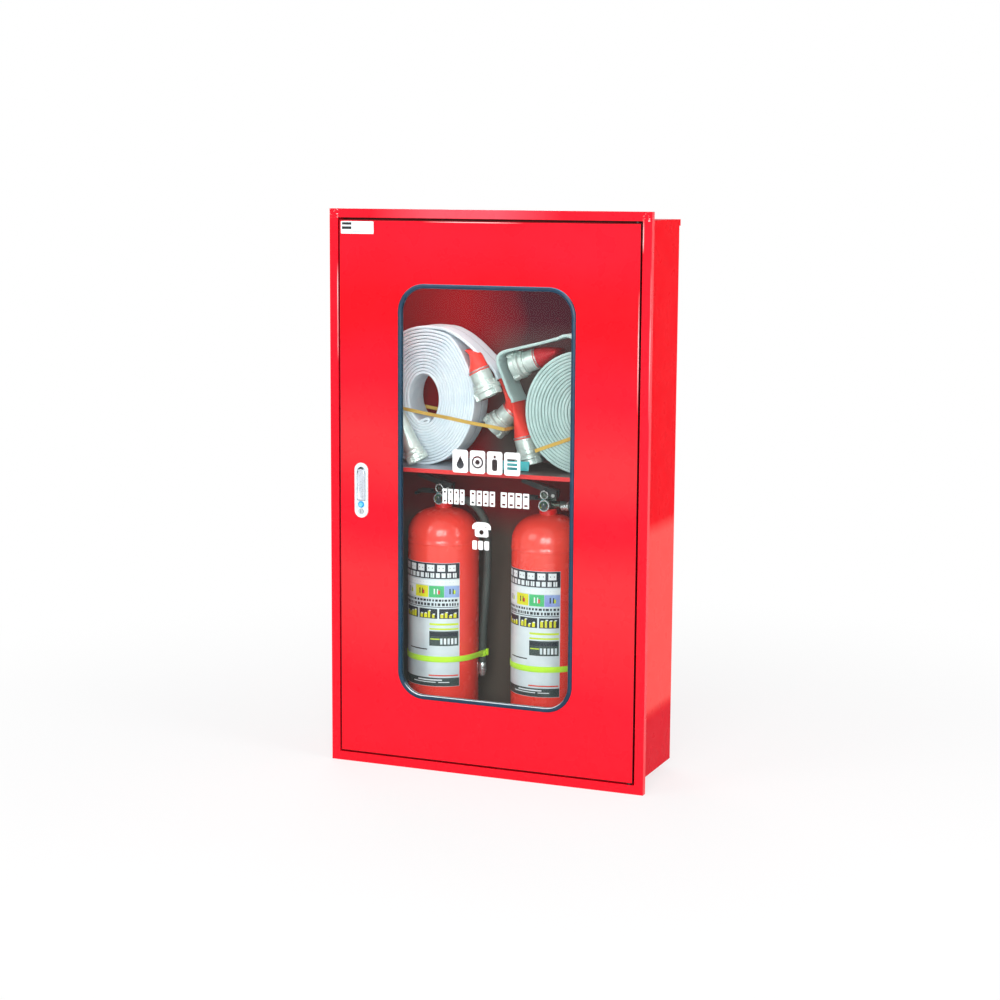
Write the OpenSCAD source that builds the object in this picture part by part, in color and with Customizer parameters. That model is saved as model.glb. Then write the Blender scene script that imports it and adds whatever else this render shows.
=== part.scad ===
// Standpipe cabinet: a red sheet-steel wall cabinet with a glazed door. Two rolled hoses and a
// branch nozzle lie on its shelf, and two dry-powder extinguishers stand below.
// Millimetres. The origin is the centre of the wall bolts on the rear face, +Z up, the door faces -Y.

/* [Cabinet] */
// Overall width, over the face frame
cab_w = 600; // [600:10:700]
// Overall height, over the face frame
cab_h = 1000; // [1000:10:1100]
// Overall depth, from the wall to the front plane
cab_d = 200; // [200:5:240]
// Thickness of the steel sheet
sheet = 1.2; // [1:0.1:1.5]
// Bend radius at the rear corners of the body
bend_r = 3; // [2:0.5:6]
// Folded flanges that join the body panels
flange_w = 10; // [8:1:14]

/* [Face frame] */
// Width of the frame's visible face
frame_face = 16; // [14:1:24]
// Depth of the frame's outer return
frame_return = 12; // [8:1:16]
// Depth of the rebate that the door sits in
rebate_d = 22; // [22:1:26]
// Width of the door stop behind the rebate
stop_w = 12; // [9:0.5:13]

/* [Wall fixing] */
// Distance between the bolt holes, across
bolt_span_x = 420; // [300:10:480]
// Distance between the bolt holes, up and down
bolt_span_z = 760; // [600:10:860]
// Diameter of the bolt holes
bolt_hole_d = 10; // [7:0.5:13]

/* [Door] */
// Gap between door and frame all round
door_gap = 3; // [2.5:0.25:3.5]
// Depth of the door pan
door_d = 18; // [16:0.5:18.5]
// Width of the lips folded in behind the door
door_lip = 12; // [10:0.5:14]
// Distance of the pivot axis from the door's right edge
pivot_in = 8; // [7.5:0.25:9]
// Distance of the pivot axis behind the front plane
pivot_back = 6; // [5.75:0.25:7]
// Diameter of the pivot pins
pivot_d = 6; // [5:0.25:6]
// Thickness of the plates that back the pivots
pivot_plate_t = 3; // [2:0.5:5]
// Radial running clearance of every pin and plug
run_clear = 0.05; // [0.03:0.01:0.09]

/* [Window] */
// Width over the window gasket
win_w = 334; // [280:2:360]
// Height over the window gasket
win_h = 742; // [600:2:780]
// Corner radius over the gasket
win_r = 50; // [36:1:70]
// Visible width of the gasket
gasket_w = 8; // [7:0.5:12]
// How far the gasket stands proud of the door
gasket_proud = 3; // [2:0.25:5]
// Thickness of the pane
glass_t = 4; // [3:0.5:6]

/* [Handle and lock] */
// Distance of the handle's centre line from the door's left edge
handle_in = 42; // [38:0.5:44]
// Height of the handle's middle above the cabinet's middle
handle_z = 1; // [-60:1:60]
// Width of the handle plate
plate_w = 26; // [25:0.5:30]
// Length of the handle plate
plate_h = 99; // [97:0.5:110]
// Thickness of the plate in front of the door
plate_t = 2.5; // [2:0.25:4]
// Width of the pull lever
lever_w = 15; // [12:0.5:16]
// Diameter of the lever's pin
lever_pin_d = 3; // [2.5:0.1:3.2]
// Diameter of the push button
button_d = 11.6; // [10:0.1:12]
// Travel of the push button
button_travel = 2.5; // [1.5:0.25:3.5]
// Diameter of the key plug
plug_d = 9.2; // [8:0.1:9.6]
// Reach of the lock's cam
cam_len = 38; // [36:0.5:40]

/* [Shelf] */
// Height of the shelf above the cabinet floor
shelf_h = 525; // [520:1:560]
// Distance of the shelf's front edge behind the front plane
shelf_setback = 30; // [24:1:34]
// Depth of the shelf's turned-down lip
shelf_lip = 7.5; // [5:0.5:10]
// Width of the shelf brackets' legs
bracket_w = 20; // [12:1:26]

/* [Hoses] */
// Width of the flat hose
hose_w = 65; // [50:1:70]
// Thickness of one visible layer
hose_t = 4.4; // [3.6:0.1:4.6]
// Layers in each roll
hose_turns = 14; // [10:1:14]
// Width of the left roll
left_roll_w = 210; // [206:1:214]
// Height of the left roll
left_roll_h = 246; // [242:1:248]
// Width and height of the right roll
right_roll_d = 226; // [222:1:228]
// Diameter of the couplings' hose shanks
shank_d = 38; // [32:1:39]
// Diameter of the couplings' rings
ring_d = 50; // [46:1:52]
// Height of the ties round the rolls
tie_h = 6; // [4:0.5:9]

/* [Extinguishers] */
// Diameter of each bottle
bottle_d = 130; // [120:1:134]
// Height of each bottle, up to its neck
bottle_h = 456; // [430:1:460]
// Height of the domed shoulder
dome_h = 47; // [38:1:60]
// Diameter of the discharge hose
spout_d = 14; // [12:0.5:15]
// Height of the strap above the floor
strap_z = 176; // [160:1:230]
// Height of the strap's band
strap_h = 10; // [8:0.5:16]
// Travel of the squeeze lever's tip
squeeze_deg = 12; // [8:1:12]

/* [Hidden] */
$fn = 48;

paint = [0.93, 0.06, 0.12];
inner_paint = [0.80, 0.10, 0.10];
dark = [0.13, 0.14, 0.15];
rubber = [0.10, 0.20, 0.25];
alloy = [0.78, 0.80, 0.80];
chrome = [0.88, 0.90, 0.92];
seat = 0.3; // gap under a piece that only lies on another
eps = 0.01; // overlap of solids fused in one piece
front = -cab_d; // the front plane

// Cabinet box
open_w = cab_w - 2 * frame_face; // opening of the frame, and outside of the box
open_h = cab_h - 2 * frame_face;
stop_y = front + rebate_d; // front face of the door stop
box_y = stop_y + sheet; // front edge of the body panels
side_in = open_w / 2 - sheet; // inner face of the sides
floor_z = -open_h / 2 + sheet; // upper face of the cabinet floor

// Door
door_w = open_w - 2 * door_gap;
door_h = open_h - 2 * door_gap;
door_back = front + door_d;
pivot_x = door_w / 2 - pivot_in;
pivot_y = front + pivot_back;
washer_r = 4.5;
head_t = 2;
head_r = min(4.5, pivot_back - sheet - 0.2);
pin_reach = 4; // how far a pivot pin passes its plate

// Window, from the gasket's outer line inwards
groove_in = 3; // depth of the groove that grips the sheet
web = 2; // rubber between the sheet's edge and the pane's edge
back_lip = 1.5; // thickness of the gasket's rear lip
pane_in = groove_in + web;

// Handle, in its own frame: x across, z up, y from the front plane inwards
handle_x = -door_w / 2 + handle_in;
plate_r = plate_w / 2;
house_in = 2; // step from the plate's edge to the housing behind it
house_d = 16; // depth of the housing behind the front plane
pocket_d = 12;
pocket_gap = 0.6; // clearance beside the lever
lever_t = 5; // thickness of the lever
lever_proud = 0.8;
lever_hub = 3.2;
hinge_drop = 14.4; // hinge pin below the plate's top end
hinge_z = plate_h / 2 - hinge_drop;
hinge_y = 1; // hinge pin behind the front plane
lever_top = 3.4; // lever above its pin
button_proud = 1.2;
button_len = 13;
wall = 2; // metal between the lever, the button and the plug
plug_up = 6.8; // plate below the plug
lever_len = plate_h - hinge_drop - 2 * wall - button_d - plug_d - plug_up; // lever below its pin
button_z = hinge_z - lever_len - wall - button_d / 2;
plug_z = button_z - button_d / 2 - wall - plug_d / 2;
plug_proud = 0.6;
clamp_w = 7; // the clamp's rim beyond the housing
clamp_t = 2;
screw_r = 2;
cam_t = 2;
cam_w = 12;
cam_y = box_y + 1.4; // front face of the cam, behind the door stop
cam_eye = 7;
stem_r = 3;

// Door catch
catch_z = 300;
catch_h = 40;
catch_nose = 13.5; // width of the magnet's nose inside the stop
catch_d = 16;
keeper_t = 1.6;

// Shelf
shelf_z = floor_z + shelf_h; // upper face of the shelf
shelf_y = front + shelf_setback;
shelf_side = 0.8; // side clearance of the shelf
bracket_back = 10;

// Hoses: depths are measured from the wall, heights from the shelf
wind_end = 97; // angle at which the last layer lifts off
left_mid = -88; // middle of the left hose's width
right_mid = -97.5;
core_half = [32, 47]; // half size of the oval first turn
right_core_half = [24, 34];
left_half = [left_roll_w / 2 - hose_t / 2, left_roll_h / 2 - hose_t / 2];
right_half = [right_roll_d / 2 - hose_t / 2, right_roll_d / 2 - hose_t / 2];
steps = 24; // points in one turn
// A roll's lowest layer lies the seat above the shelf
function roll_centre(x, half0, half1, side) =
    [x, shelf_z + seat - min([for (p = band_outline(spiral([0, 0], half0, half1, side), hose_t)) p[1]])];
left_c = roll_centre(-155, core_half, left_half, 1);
right_c = roll_centre(155, right_core_half, right_half, -1);

// The outer end of each hose: the layer lifts off its roll, passes over the upper coupling
// and turns down. Heights are above the shelf.
left_tail = [[-128, 247], [-100, 240], [-70, 222], [-40, 196], [-24, 181], [-16, 172]];
right_tail = [[128, 241], [104, 236], [80, 229], [52, 222], [28, 216], [8, 211], [-2, 206],
    [-7, 198], [-6, 188], [-3, 180], [3, 166], [10, 149], [16, 135]];

// Sleeves and couplings in the plane of the roll: where the sleeve starts, where its shank starts,
// the coupling's lean from straight down, and how far the sleeve runs straight before the shank
left_upper = [[-72, 209], [-36, 174], 26.5, 29];
left_lower = [[-10, 160], [-1, 101], -45, 20];
right_upper = [[100, 213], [56, 198], -69, 21];
right_lower = [[22, 121], [34, 55], 15, 21];
// Depth of each sleeve's flat end and of its coupling, and half the flat end's width
left_upper_y = [-98, -140, 24];
left_lower_y = [left_mid, -76, 26];
right_upper_y = [right_mid, -98, 26];
right_lower_y = [right_mid, -98, 30];
sleeve_t = 0.6; // sleeve's wall over the flat hose
shank_len = 21;
ring_len = 27;
tail_end = 6; // straight end of a hose before its sleeve
lug_len = 4; // how far the coupling's claws stand out

// Branch nozzle, leaning in front of the left roll
nozzle_x = left_c[0] + 5;
nozzle_y = -149;
nozzle_lean = 27;
nozzle_len = 230;
nozzle_ring_r = 20;
nozzle_tip_r = 8;

// Ties
tie_t = 1;
left_tie_z = 94; // heights of the ties, from the shelf and below the right roll's centre
right_tie_off = 36;
left_tie_reach = 6; // left tie beyond the mouth of the lower coupling's shank
left_tie_tilt = 8;
right_tie_tilt = -21;

// Extinguishers
left_x = -127;
right_x = 77;
bottle_y = -90;
neck_r = 14;
neck_h = 11;
neck_bore = 8;
bottle_wall = 1.6;
foot_r = 6;
dip_r = 5; // dip tube inside the bottle
dip_clear = 12; // from its end to the bottle's bottom
seam_r = 0.8; // weld bead round the bottle
valve_z = floor_z + bottle_h; // underside of the valve
body_r = 11;
waist_r = 5.5; // valve body where the carry handle is clamped
hex_r = 15;
hex_h = 6;
shoulder_h = 16; // valve body up to the carry handle
handle_t = 1.5; // thickness of the handle and lever plates
block_w = 11;
block_back = 13; // valve block on the grip side
block_front = 17; // valve block on the hose side
block_h = 14;
outlet_z = 7;
outlet_r = 6.8;
outlet_len = 24;
dial_r = 10;
dial_t = 7;
grip_len = 52; // carry handle from the axis to its end
cheek_gap = 1; // between the block and the lever's cheeks
squeeze_x = 12; // pivot of the squeeze lever
squeeze_z = 24;
squeeze_pin_r = 2;
squeeze_rise = 15; // slope of the lever at rest
squeeze_len = 62; // lever from its pivot to its tip
lever_in_w = block_w + 2 * cheek_gap;
lever_out_w = lever_in_w + 2 * handle_t;
safety_r = 1.5;
safety_x = -4;
safety_z = 31.8;
ring_r = 7;
ring_wire = 0.9;

// The discharge hose leaves the valve sideways, bends down and is strapped to the bottle.
// Points from the bottle's axis and the valve's underside: across, back, up.
spout_bend = 56;
spout_gap = 0.4;
spout_x = 64;
spout_y = sqrt(pow(bottle_d / 2 + spout_d / 2 + spout_gap, 2) - pow(spout_x, 2));
strap_t = 1.2;
tip_len = 26;
strap_drop = bottle_h - strap_z; // strap below the valve's underside
spout_route = [[outlet_len, 0, outlet_z], [34, 0, outlet_z], [46, 1, 4], [57, 2, -2], [66, 3, -10], [73, 5, -20],
    [78, 7, -30], [81, 9, -44], [82, 11, -60], [82, 13, -80], [81, 15, -104], [79, 18, -130],
    [76, 21, -160], [72, 25, -195], [68, 28, -230], [65, spout_y - 1, -strap_drop + 24],
    [spout_x, spout_y, -strap_drop + 10], [spout_x, spout_y, -strap_drop - 8],
    [spout_x, spout_y, -strap_drop - 20]];

// ---- Flat shapes and helpers ----

module rounded(w, h, r) {
    square([w - 2 * r, h], center = true);
    square([w, h - 2 * r], center = true);
    for (x = [-1, 1], y = [-1, 1])
        translate([x * (w / 2 - r), y * (h / 2 - r)]) circle(r, $fn = 64);
}

module stadium(w, h) {
    square([w, h - w], center = true);
    for (s = [-1, 1]) translate([0, s * (h - w) / 2]) circle(w / 2);
}

// Stands a flat drawing upright: its y becomes height, its thickness runs back from y0
module upright(y0, t) {
    translate([0, y0 + t, 0]) rotate([90, 0, 0]) linear_extrude(t) children();
}

module slab(x0, x1, y0, y1, z0, z1) {
    translate([x0, y0, z0]) cube([x1 - x0, y1 - y0, z1 - z0]);
}

// A rectangular ring standing upright: outer size, width of its band, and its depth
module upright_ring(w, h, band, y0, y1) {
    difference() {
        slab(-w / 2, w / 2, y0, y1, -h / 2, h / 2);
        slab(-w / 2 + band, w / 2 - band, y0 - 1, y1 + 1, -h / 2 + band, h / 2 - band);
    }
}

module rod(r, y0, y1) {
    translate([0, y1, 0]) rotate([90, 0, 0]) cylinder(r = r, h = y1 - y0);
}

// Sweeps a section round a rounded rectangle; the section's x runs inwards from the outer line
module frame_sweep(w, h, r) {
    for (q = [0:3])
        rotate([0, q * 90, 0]) {
            half_w = (q % 2 == 0 ? w : h) / 2;
            half_h = (q % 2 == 0 ? h : w) / 2;
            translate([half_w, 0, -half_h + r])
                linear_extrude(2 * (half_h - r)) mirror([1, 0]) children();
            translate([half_w - r, 0, half_h - r]) rotate([90, 0, 0])
                rotate_extrude(angle = 90, $fn = 64) translate([r, 0]) mirror([1, 0]) mirror([0, 1]) children();
        }
}

// ---- Cabinet ----

module body_wrap() {
    color(paint) difference() {
        translate([0, 0, -open_h / 2]) linear_extrude(open_h) difference() {
            translate([0, box_y / 2]) union() {
                translate([0, -bend_r / 2]) square([open_w, -box_y - bend_r], center = true);
                square([open_w - 2 * bend_r, -box_y], center = true);
                for (s = [-1, 1]) translate([s * (open_w / 2 - bend_r), -box_y / 2 - bend_r]) circle(bend_r);
            }
            translate([0, box_y / 2]) union() {
                translate([0, -bend_r / 2]) square([2 * side_in, -box_y - bend_r + 2], center = true);
                translate([0, -sheet]) square([open_w - 2 * bend_r, -box_y], center = true);
                for (s = [-1, 1]) translate([s * (open_w / 2 - bend_r), -box_y / 2 - bend_r])
                    circle(bend_r - sheet);
            }
        }
        for (x = [-1, 1], z = [-1, 1])
            translate([x * bolt_span_x / 2, 0, z * bolt_span_z / 2]) rod(bolt_hole_d / 2, -5, 5);
    }
}

module top_panel() {
    over = open_w / 2 + sheet;
    color(paint) {
        slab(-over, over, box_y, 0, open_h / 2, open_h / 2 + sheet);
        for (s = [-1, 1])
            slab(min(s * open_w / 2, s * over), max(s * open_w / 2, s * over), box_y, 0,
                open_h / 2 - flange_w, open_h / 2 + eps);
    }
}

module bottom_panel() {
    color(paint) difference() {
        slab(-side_in, side_in, box_y, -bend_r, -open_h / 2, floor_z + flange_w);
        slab(-side_in + sheet, side_in - sheet, box_y - 1, -bend_r - sheet, floor_z, floor_z + flange_w + 1);
    }
}

module face_frame() {
    color(paint) difference() {
        union() {
            upright_ring(cab_w, cab_h, frame_face, front, front + sheet);
            upright_ring(cab_w, cab_h, sheet, front, front + frame_return);
            upright_ring(open_w + 2 * sheet, open_h + 2 * sheet, sheet, front, stop_y + sheet);
            upright_ring(open_w + 2 * sheet, open_h + 2 * sheet, sheet + stop_w, stop_y, stop_y + sheet);
        }
        for (s = [-1, 1]) translate([pivot_x, pivot_y, s * open_h / 2])
            cylinder(r = pivot_d / 2, h = 4 * sheet, center = true);
    }
}

module pivot_pins() {
    reach = door_gap + sheet + pivot_plate_t + pin_reach;
    color(chrome) for (s = [-1, 1]) translate([pivot_x, pivot_y, s * open_h / 2])
        mirror([0, 0, s > 0 ? 0 : 1]) {
            translate([0, 0, -reach]) cylinder(r = pivot_d / 2, h = reach + sheet + eps);
            translate([0, 0, sheet]) cylinder(r = head_r, h = head_t);
        }
}

module pivot_washer() {
    color(chrome) translate([pivot_x, pivot_y, -open_h / 2]) difference() {
        cylinder(r = washer_r, h = door_gap);
        translate([0, 0, -1]) cylinder(r = pivot_d / 2 + run_clear, h = door_gap + 2);
    }
}

module magnet_catch() {
    inner = -open_w / 2 + stop_w; // inner edge of the stop
    color(dark) {
        slab(-side_in, inner + catch_nose, box_y, box_y + catch_d, catch_z - catch_h / 2, catch_z + catch_h / 2);
        slab(inner + 0.5, inner + catch_nose, door_back + keeper_t + seat, box_y + eps,
            catch_z - catch_h / 2, catch_z + catch_h / 2);
    }
}

module shelf() {
    x = side_in - shelf_side;
    under = shelf_z - sheet;
    color(inner_paint) {
        slab(-x, x, shelf_y, -sheet - seat, under, shelf_z);
        slab(-x, x, shelf_y, shelf_y + sheet, shelf_z - shelf_lip, shelf_z);
        slab(-x, x, shelf_y, shelf_y + shelf_lip, shelf_z - shelf_lip, shelf_z - shelf_lip + sheet);
        slab(-x, x, -sheet - seat - sheet, -sheet - seat, shelf_z - shelf_lip, shelf_z);
    }
}

module shelf_brackets() {
    top = shelf_z - sheet;
    y0 = shelf_y + shelf_lip + 2;
    y1 = -bracket_back;
    color(inner_paint) for (s = [-1, 1]) mirror([s > 0 ? 0 : 1, 0, 0]) {
        slab(side_in - sheet, side_in, y0, y1, top - bracket_w, top);
        slab(side_in - bracket_w, side_in, y0, y1, top - sheet, top);
    }
}

// ---- Door ----

module door_panel() {
    hx = door_w / 2;
    hz = door_h / 2;
    color(paint) difference() {
        union() {
            slab(-hx, hx, front, front + sheet, -hz, hz);
            upright_ring(door_w, door_h, sheet, front, door_back);
            upright_ring(door_w, door_h, door_lip, door_back - sheet, door_back);
        }
        upright(front - 1, sheet + 2)
            rounded(win_w - 2 * groove_in, win_h - 2 * groove_in, win_r - groove_in);
        translate([handle_x, 0, handle_z]) upright(front - 1, sheet + 2)
            stadium(plate_w - 2 * house_in, plate_h - 2 * house_in);
        for (s = [-1, 1]) translate([pivot_x, pivot_y, s * hz])
            cylinder(r = pivot_d / 2 + run_clear, h = 4 * sheet, center = true);
    }
}

module pivot_plates() {
    hx = door_w / 2 - sheet;
    hz = door_h / 2 - sheet;
    color(chrome) for (s = [-1, 1]) difference() {
        slab(hx - 18, hx, front + sheet, door_back - sheet,
            min(s * hz, s * (hz - pivot_plate_t)), max(s * hz, s * (hz - pivot_plate_t)));
        translate([pivot_x, pivot_y, s * hz])
            cylinder(r = pivot_d / 2 + run_clear, h = 4 * pivot_plate_t, center = true);
    }
}

module window_gasket() {
    color(rubber) translate([0, front, 0]) frame_sweep(win_w, win_h, win_r)
        polygon([[0, 0], [0.35 * groove_in, -0.75 * gasket_proud], [gasket_w / 2, -gasket_proud],
            [gasket_w - 0.35 * groove_in, -0.75 * gasket_proud], [gasket_w, 0],
            [pane_in, 0], [pane_in, glass_t], [gasket_w, glass_t], [gasket_w, glass_t + back_lip],
            [0, glass_t + back_lip], [0, sheet], [groove_in, sheet], [groove_in, 0]]);
}

module window_glass() {
    color([0.6, 0.75, 0.75, 0.35]) upright(front, glass_t)
        rounded(win_w - 2 * pane_in, win_h - 2 * pane_in, win_r - pane_in);
}

module keeper_plate() {
    inner = -open_w / 2 + stop_w;
    color(chrome) slab(-door_w / 2 + 2, inner + catch_nose, door_back, door_back + keeper_t,
        catch_z - catch_h / 2, catch_z + catch_h / 2);
}

module handle_place() {
    translate([handle_x, front, handle_z]) children();
}

module handle_plate() {
    pocket_w = lever_w + 2 * pocket_gap;
    pocket_low = hinge_z - lever_len - pocket_gap;
    pocket_top = hinge_z + lever_top + lever_proud + 2;
    color(chrome) handle_place() difference() {
        union() {
            upright(-plate_t, plate_t) stadium(plate_w, plate_h);
            upright(-eps, house_d + eps) stadium(plate_w - 2 * house_in - 0.2, plate_h - 2 * house_in - 0.2);
        }
        slab(-pocket_w / 2, pocket_w / 2, -plate_t - 1, pocket_d, pocket_low, pocket_top);
        translate([0, 0, button_z]) rod(button_d / 2 + run_clear, -plate_t - 1, button_len + button_travel);
        translate([0, 0, plug_z]) rod(plug_d / 2 + run_clear, -plate_t - 1, house_d + 1);
        translate([0, hinge_y, hinge_z]) rotate([0, 90, 0])
            cylinder(r = lever_pin_d / 2, h = plate_w - 2 * house_in - 1, center = true);
        for (s = [-1, 1]) translate([0, 0, s * (plate_h / 2 - house_in - 5)]) rod(screw_r, house_d - 6, house_d + 1);
    }
}

module lock_clamp() {
    w = plate_w - 2 * house_in;
    h = plate_h - 2 * house_in;
    color([0.7, 0.7, 0.66]) handle_place() difference() {
        union() {
            upright(sheet, clamp_t) stadium(w + 2 * clamp_w, h + 2 * clamp_w);
            for (s = [-1, 1]) slab(-w / 4, w / 4, sheet, house_d + clamp_t,
                min(s * h / 2, s * (h / 2 + clamp_t)), max(s * h / 2, s * (h / 2 + clamp_t)));
            for (s = [-1, 1]) slab(-w / 4, w / 4, house_d, house_d + clamp_t,
                min(s * (h / 2 - 9), s * (h / 2 + clamp_t)), max(s * (h / 2 - 9), s * (h / 2 + clamp_t)));
        }
        upright(sheet - 1, house_d - sheet + 1) stadium(w, h);
        translate([0, 0, plug_z]) rod(plug_d / 2 + 1, house_d - 1, house_d + clamp_t + 1);
        for (s = [-1, 1]) translate([0, 0, s * (h / 2 - 5)]) rod(screw_r, house_d - 1, house_d + clamp_t + 1);
    }
}

module lock_screws() {
    h = plate_h - 2 * house_in;
    color(chrome) handle_place() translate([0, 0, h / 2 - 5]) {
        rod(screw_r, house_d - 6, house_d + clamp_t + eps);
        rod(1.9 * screw_r, house_d + clamp_t, house_d + clamp_t + 2);
    }
}

module lever_pin() {
    color(chrome) handle_place() translate([0, hinge_y, hinge_z]) rotate([0, 90, 0])
        cylinder(r = lever_pin_d / 2, h = plate_w - 2 * house_in - 1, center = true);
}

module pull_lever() {
    face = -plate_t - lever_proud;
    color([0.93, 0.94, 0.95]) handle_place() difference() {
        union() {
            upright(face, lever_t) {
                translate([-lever_w / 2, hinge_z - lever_len]) square([lever_w, lever_len]);
                translate([0, hinge_z + lever_top - lever_w / 2 + 0.4 * lever_w])
                    polygon([[-lever_w / 2, -lever_w * 0.4], [lever_w / 2, -lever_w * 0.4],
                        [lever_w / 2, -lever_w * 0.1], [lever_w * 0.3, lever_w * 0.06],
                        [0, lever_w * 0.1], [-lever_w * 0.3, lever_w * 0.06], [-lever_w / 2, -lever_w * 0.1]]);
            }
            translate([0, hinge_y, hinge_z]) rotate([0, 90, 0]) cylinder(r = lever_hub, h = lever_w, center = true);
        }
        translate([0, hinge_y, hinge_z]) rotate([0, 90, 0])
            cylinder(r = lever_pin_d / 2 + run_clear, h = lever_w + 2, center = true);
        slab(-lever_w / 2 + 2.5, lever_w / 2 - 2.5, face + lever_t - 1.6, face + lever_t + 1,
            hinge_z - lever_len + 3, hinge_z - lever_hub - 3);
    }
}

module push_button() {
    r = button_d / 2;
    color([0.1, 0.65, 0.85]) handle_place() translate([0, 0, button_z]) difference() {
        rod(r, -plate_t - button_proud, button_len - 2);
        rod(r - 1.6, -plate_t - button_proud - 1, -plate_t - button_proud + 0.5);
    }
}

module key_plug() {
    color(chrome) handle_place() translate([0, 0, plug_z]) difference() {
        union() {
            rod(plug_d / 2, -plate_t - plug_proud, house_d);
            rod(stem_r, house_d - eps, cam_y - front + cam_t);
        }
        slab(-0.6, 0.6, -plate_t - plug_proud - 1, 6, -plug_d / 2 + 1.4, plug_d / 2 - 1.4);
    }
}

module lock_cam() {
    color([0.75, 0.75, 0.7]) handle_place() translate([0, cam_y - front, plug_z]) difference() {
        union() {
            rod(cam_eye, 0, cam_t);
            slab(-cam_w / 2, cam_w / 2, 0, cam_t, -cam_len, 0);
        }
        rod(stem_r, -1, cam_t + 1);
    }
}

module cam_screw() {
    color(chrome) handle_place() translate([0, cam_y - front + cam_t, plug_z])
        rod(stem_r + 1.5, 0, 3.5);
}

// ---- Rolled hoses ----

// A roll is a spiral from an oval first turn to its full outline, wound outwards to the top,
// with its last layer lifting off as the tail. side is 1 where the tail leaves to the right.
function spiral_point(c, half0, half1, s, a, side) =
    [c[0] + side * (half0[0] + (half1[0] - half0[0]) * s) * cos(a),
     c[1] + (half0[1] + (half1[1] - half0[1]) * s) * sin(a)];
function spiral(c, half0, half1, side) =
    [for (i = [0:hose_turns * steps]) let(s = i / (hose_turns * steps))
        spiral_point(c, half0, half1, s, wind_end - 360 * hose_turns * (s - 1), side)];
// The lifted layer, ended square to the sleeve that it goes into
function lifted(tail, e) = let(d = unit(bend_points(e)[1] - e[0]))
    [for (p = concat(tail, [e[0] - tail_end * d, e[0]])) [p[0], p[1] + shelf_z]];
function unit(v) = v / norm(v);
function normal_at(p, i) = let(
    a = p[max(i - 1, 0)], b = p[min(i + 1, len(p) - 1)], d = unit(b - a)) [-d[1], d[0]];
function band_outline(p, t) = concat(
    [for (i = [0:len(p) - 1]) p[i] + normal_at(p, i) * t / 2],
    [for (i = [len(p) - 1:-1:0]) p[i] - normal_at(p, i) * t / 2]);
// Distance from a point to a segment, and the least gap between one turn and the next
function to_segment(q, a, b) = let(d = b - a, k = max(0, min(1, ((q - a) * d) / (d * d)))) norm(q - a - k * d);
function least_gap(p, t) = min([for (i = [0:len(p) - steps - 3]) min([for (j = [i + steps - 2:i + steps + 1])
    to_segment(p[i], p[j], p[j + 1])])]) - t;

left_spiral = spiral(left_c, core_half, left_half, 1);
right_spiral = spiral(right_c, right_core_half, right_half, -1);
left_band = concat(left_spiral, lifted(left_tail, left_lower));
right_band = concat(right_spiral, lifted(right_tail, right_lower));

module hose_roll_left() {
    color([0.88, 0.92, 0.95]) upright(left_mid - hose_w / 2, hose_w) polygon(band_outline(left_band, hose_t));
}

module hose_roll_right() {
    color([0.75, 0.87, 0.83]) upright(right_mid - hose_w / 2, hose_w) polygon(band_outline(right_band, hose_t));
}

// The direction of a coupling that leans by a degrees, and a solid built along +Z turned to it
function aim(a) = [sin(a), -cos(a)];
module aimed(at, a, y) {
    translate([at[0], y, at[1] + shelf_z]) rotate([0, 180 - a, 0]) children();
}

// A sleeve: flat where it leaves the hose, bending and rounding to where it is bound to the shank
function bend_points(e) = [e[0], e[1] - e[3] * aim(e[2]), e[1]];
function bend_at(p, k) = pow(1 - k, 2) * p[0] + 2 * k * (1 - k) * p[1] + k * k * p[2];
function bend_dir(p, k) = unit((1 - k) * (p[1] - p[0]) + k * (p[2] - p[1]));
function ease(k) = k * k * (3 - 2 * k);
module sleeve(place_at, depth) {
    pts = bend_points(place_at);
    sides = 20;
    levels = [0:0.125:1];
    rings = [for (k = levels) let(
        c = bend_at(pts, k), d = bend_dir(pts, k), e = ease(k), f = pow(k, 3),
        thin = (hose_t / 2 + sleeve_t) * (1 - f) + shank_d / 2 * f,
        wide = depth[2] * (1 - e) + shank_d / 2 * e,
        y = depth[0] + (depth[1] - depth[0]) * e)
        [for (j = [0:sides - 1]) let(a = 360 * j / sides)
            [c[0] + d[1] * thin * cos(a), y + wide * sin(a), c[1] - d[0] * thin * cos(a) + shelf_z]]];
    color([0.9, 0.15, 0.12]) skin(rings);
}

// Closes a row of rings into one solid
module skin(rings) {
    n = len(rings[0]);
    last = len(rings) - 1;
    polyhedron([for (r = rings) each r], concat([[for (j = [n - 1:-1:0]) j]],
        [for (i = [0:last - 1], j = [0:n - 1])
            [i * n + j, i * n + (j + 1) % n, (i + 1) * n + (j + 1) % n, (i + 1) * n + j]],
        [[for (j = [0:n - 1]) last * n + j]]));
}

module hose_sleeves_left() {
    sleeve(left_upper, left_upper_y);
    sleeve(left_lower, left_lower_y);
}

module hose_sleeves_right() {
    sleeve(right_upper, right_upper_y);
    sleeve(right_lower, right_lower_y);
}

// A coupling: shank, stepped ring with an open mouth, and three claws
module coupling(place_at, y) {
    r = ring_d / 2;
    bore = shank_d / 2 - 3;
    color(alloy) aimed(place_at[1], place_at[2], y) {
        cylinder(r = shank_d / 2, h = shank_len + 1);
        translate([0, 0, shank_len]) rotate_extrude()
            polygon([[0, 0], [r - 3, 0], [r - 3, 0.3 * ring_len], [r, 0.36 * ring_len], [r, 0.6 * ring_len],
                [r - 2, 0.66 * ring_len], [r - 2, ring_len], [bore, ring_len],
                [bore, 0.5 * ring_len], [0, 0.5 * ring_len]]);
        for (k = [0:2]) rotate([0, 0, 120 * k + 90])
            translate([r - 5, -5, shank_len + 0.62 * ring_len]) cube([3 + lug_len, 10, 0.38 * ring_len]);
    }
}

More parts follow.
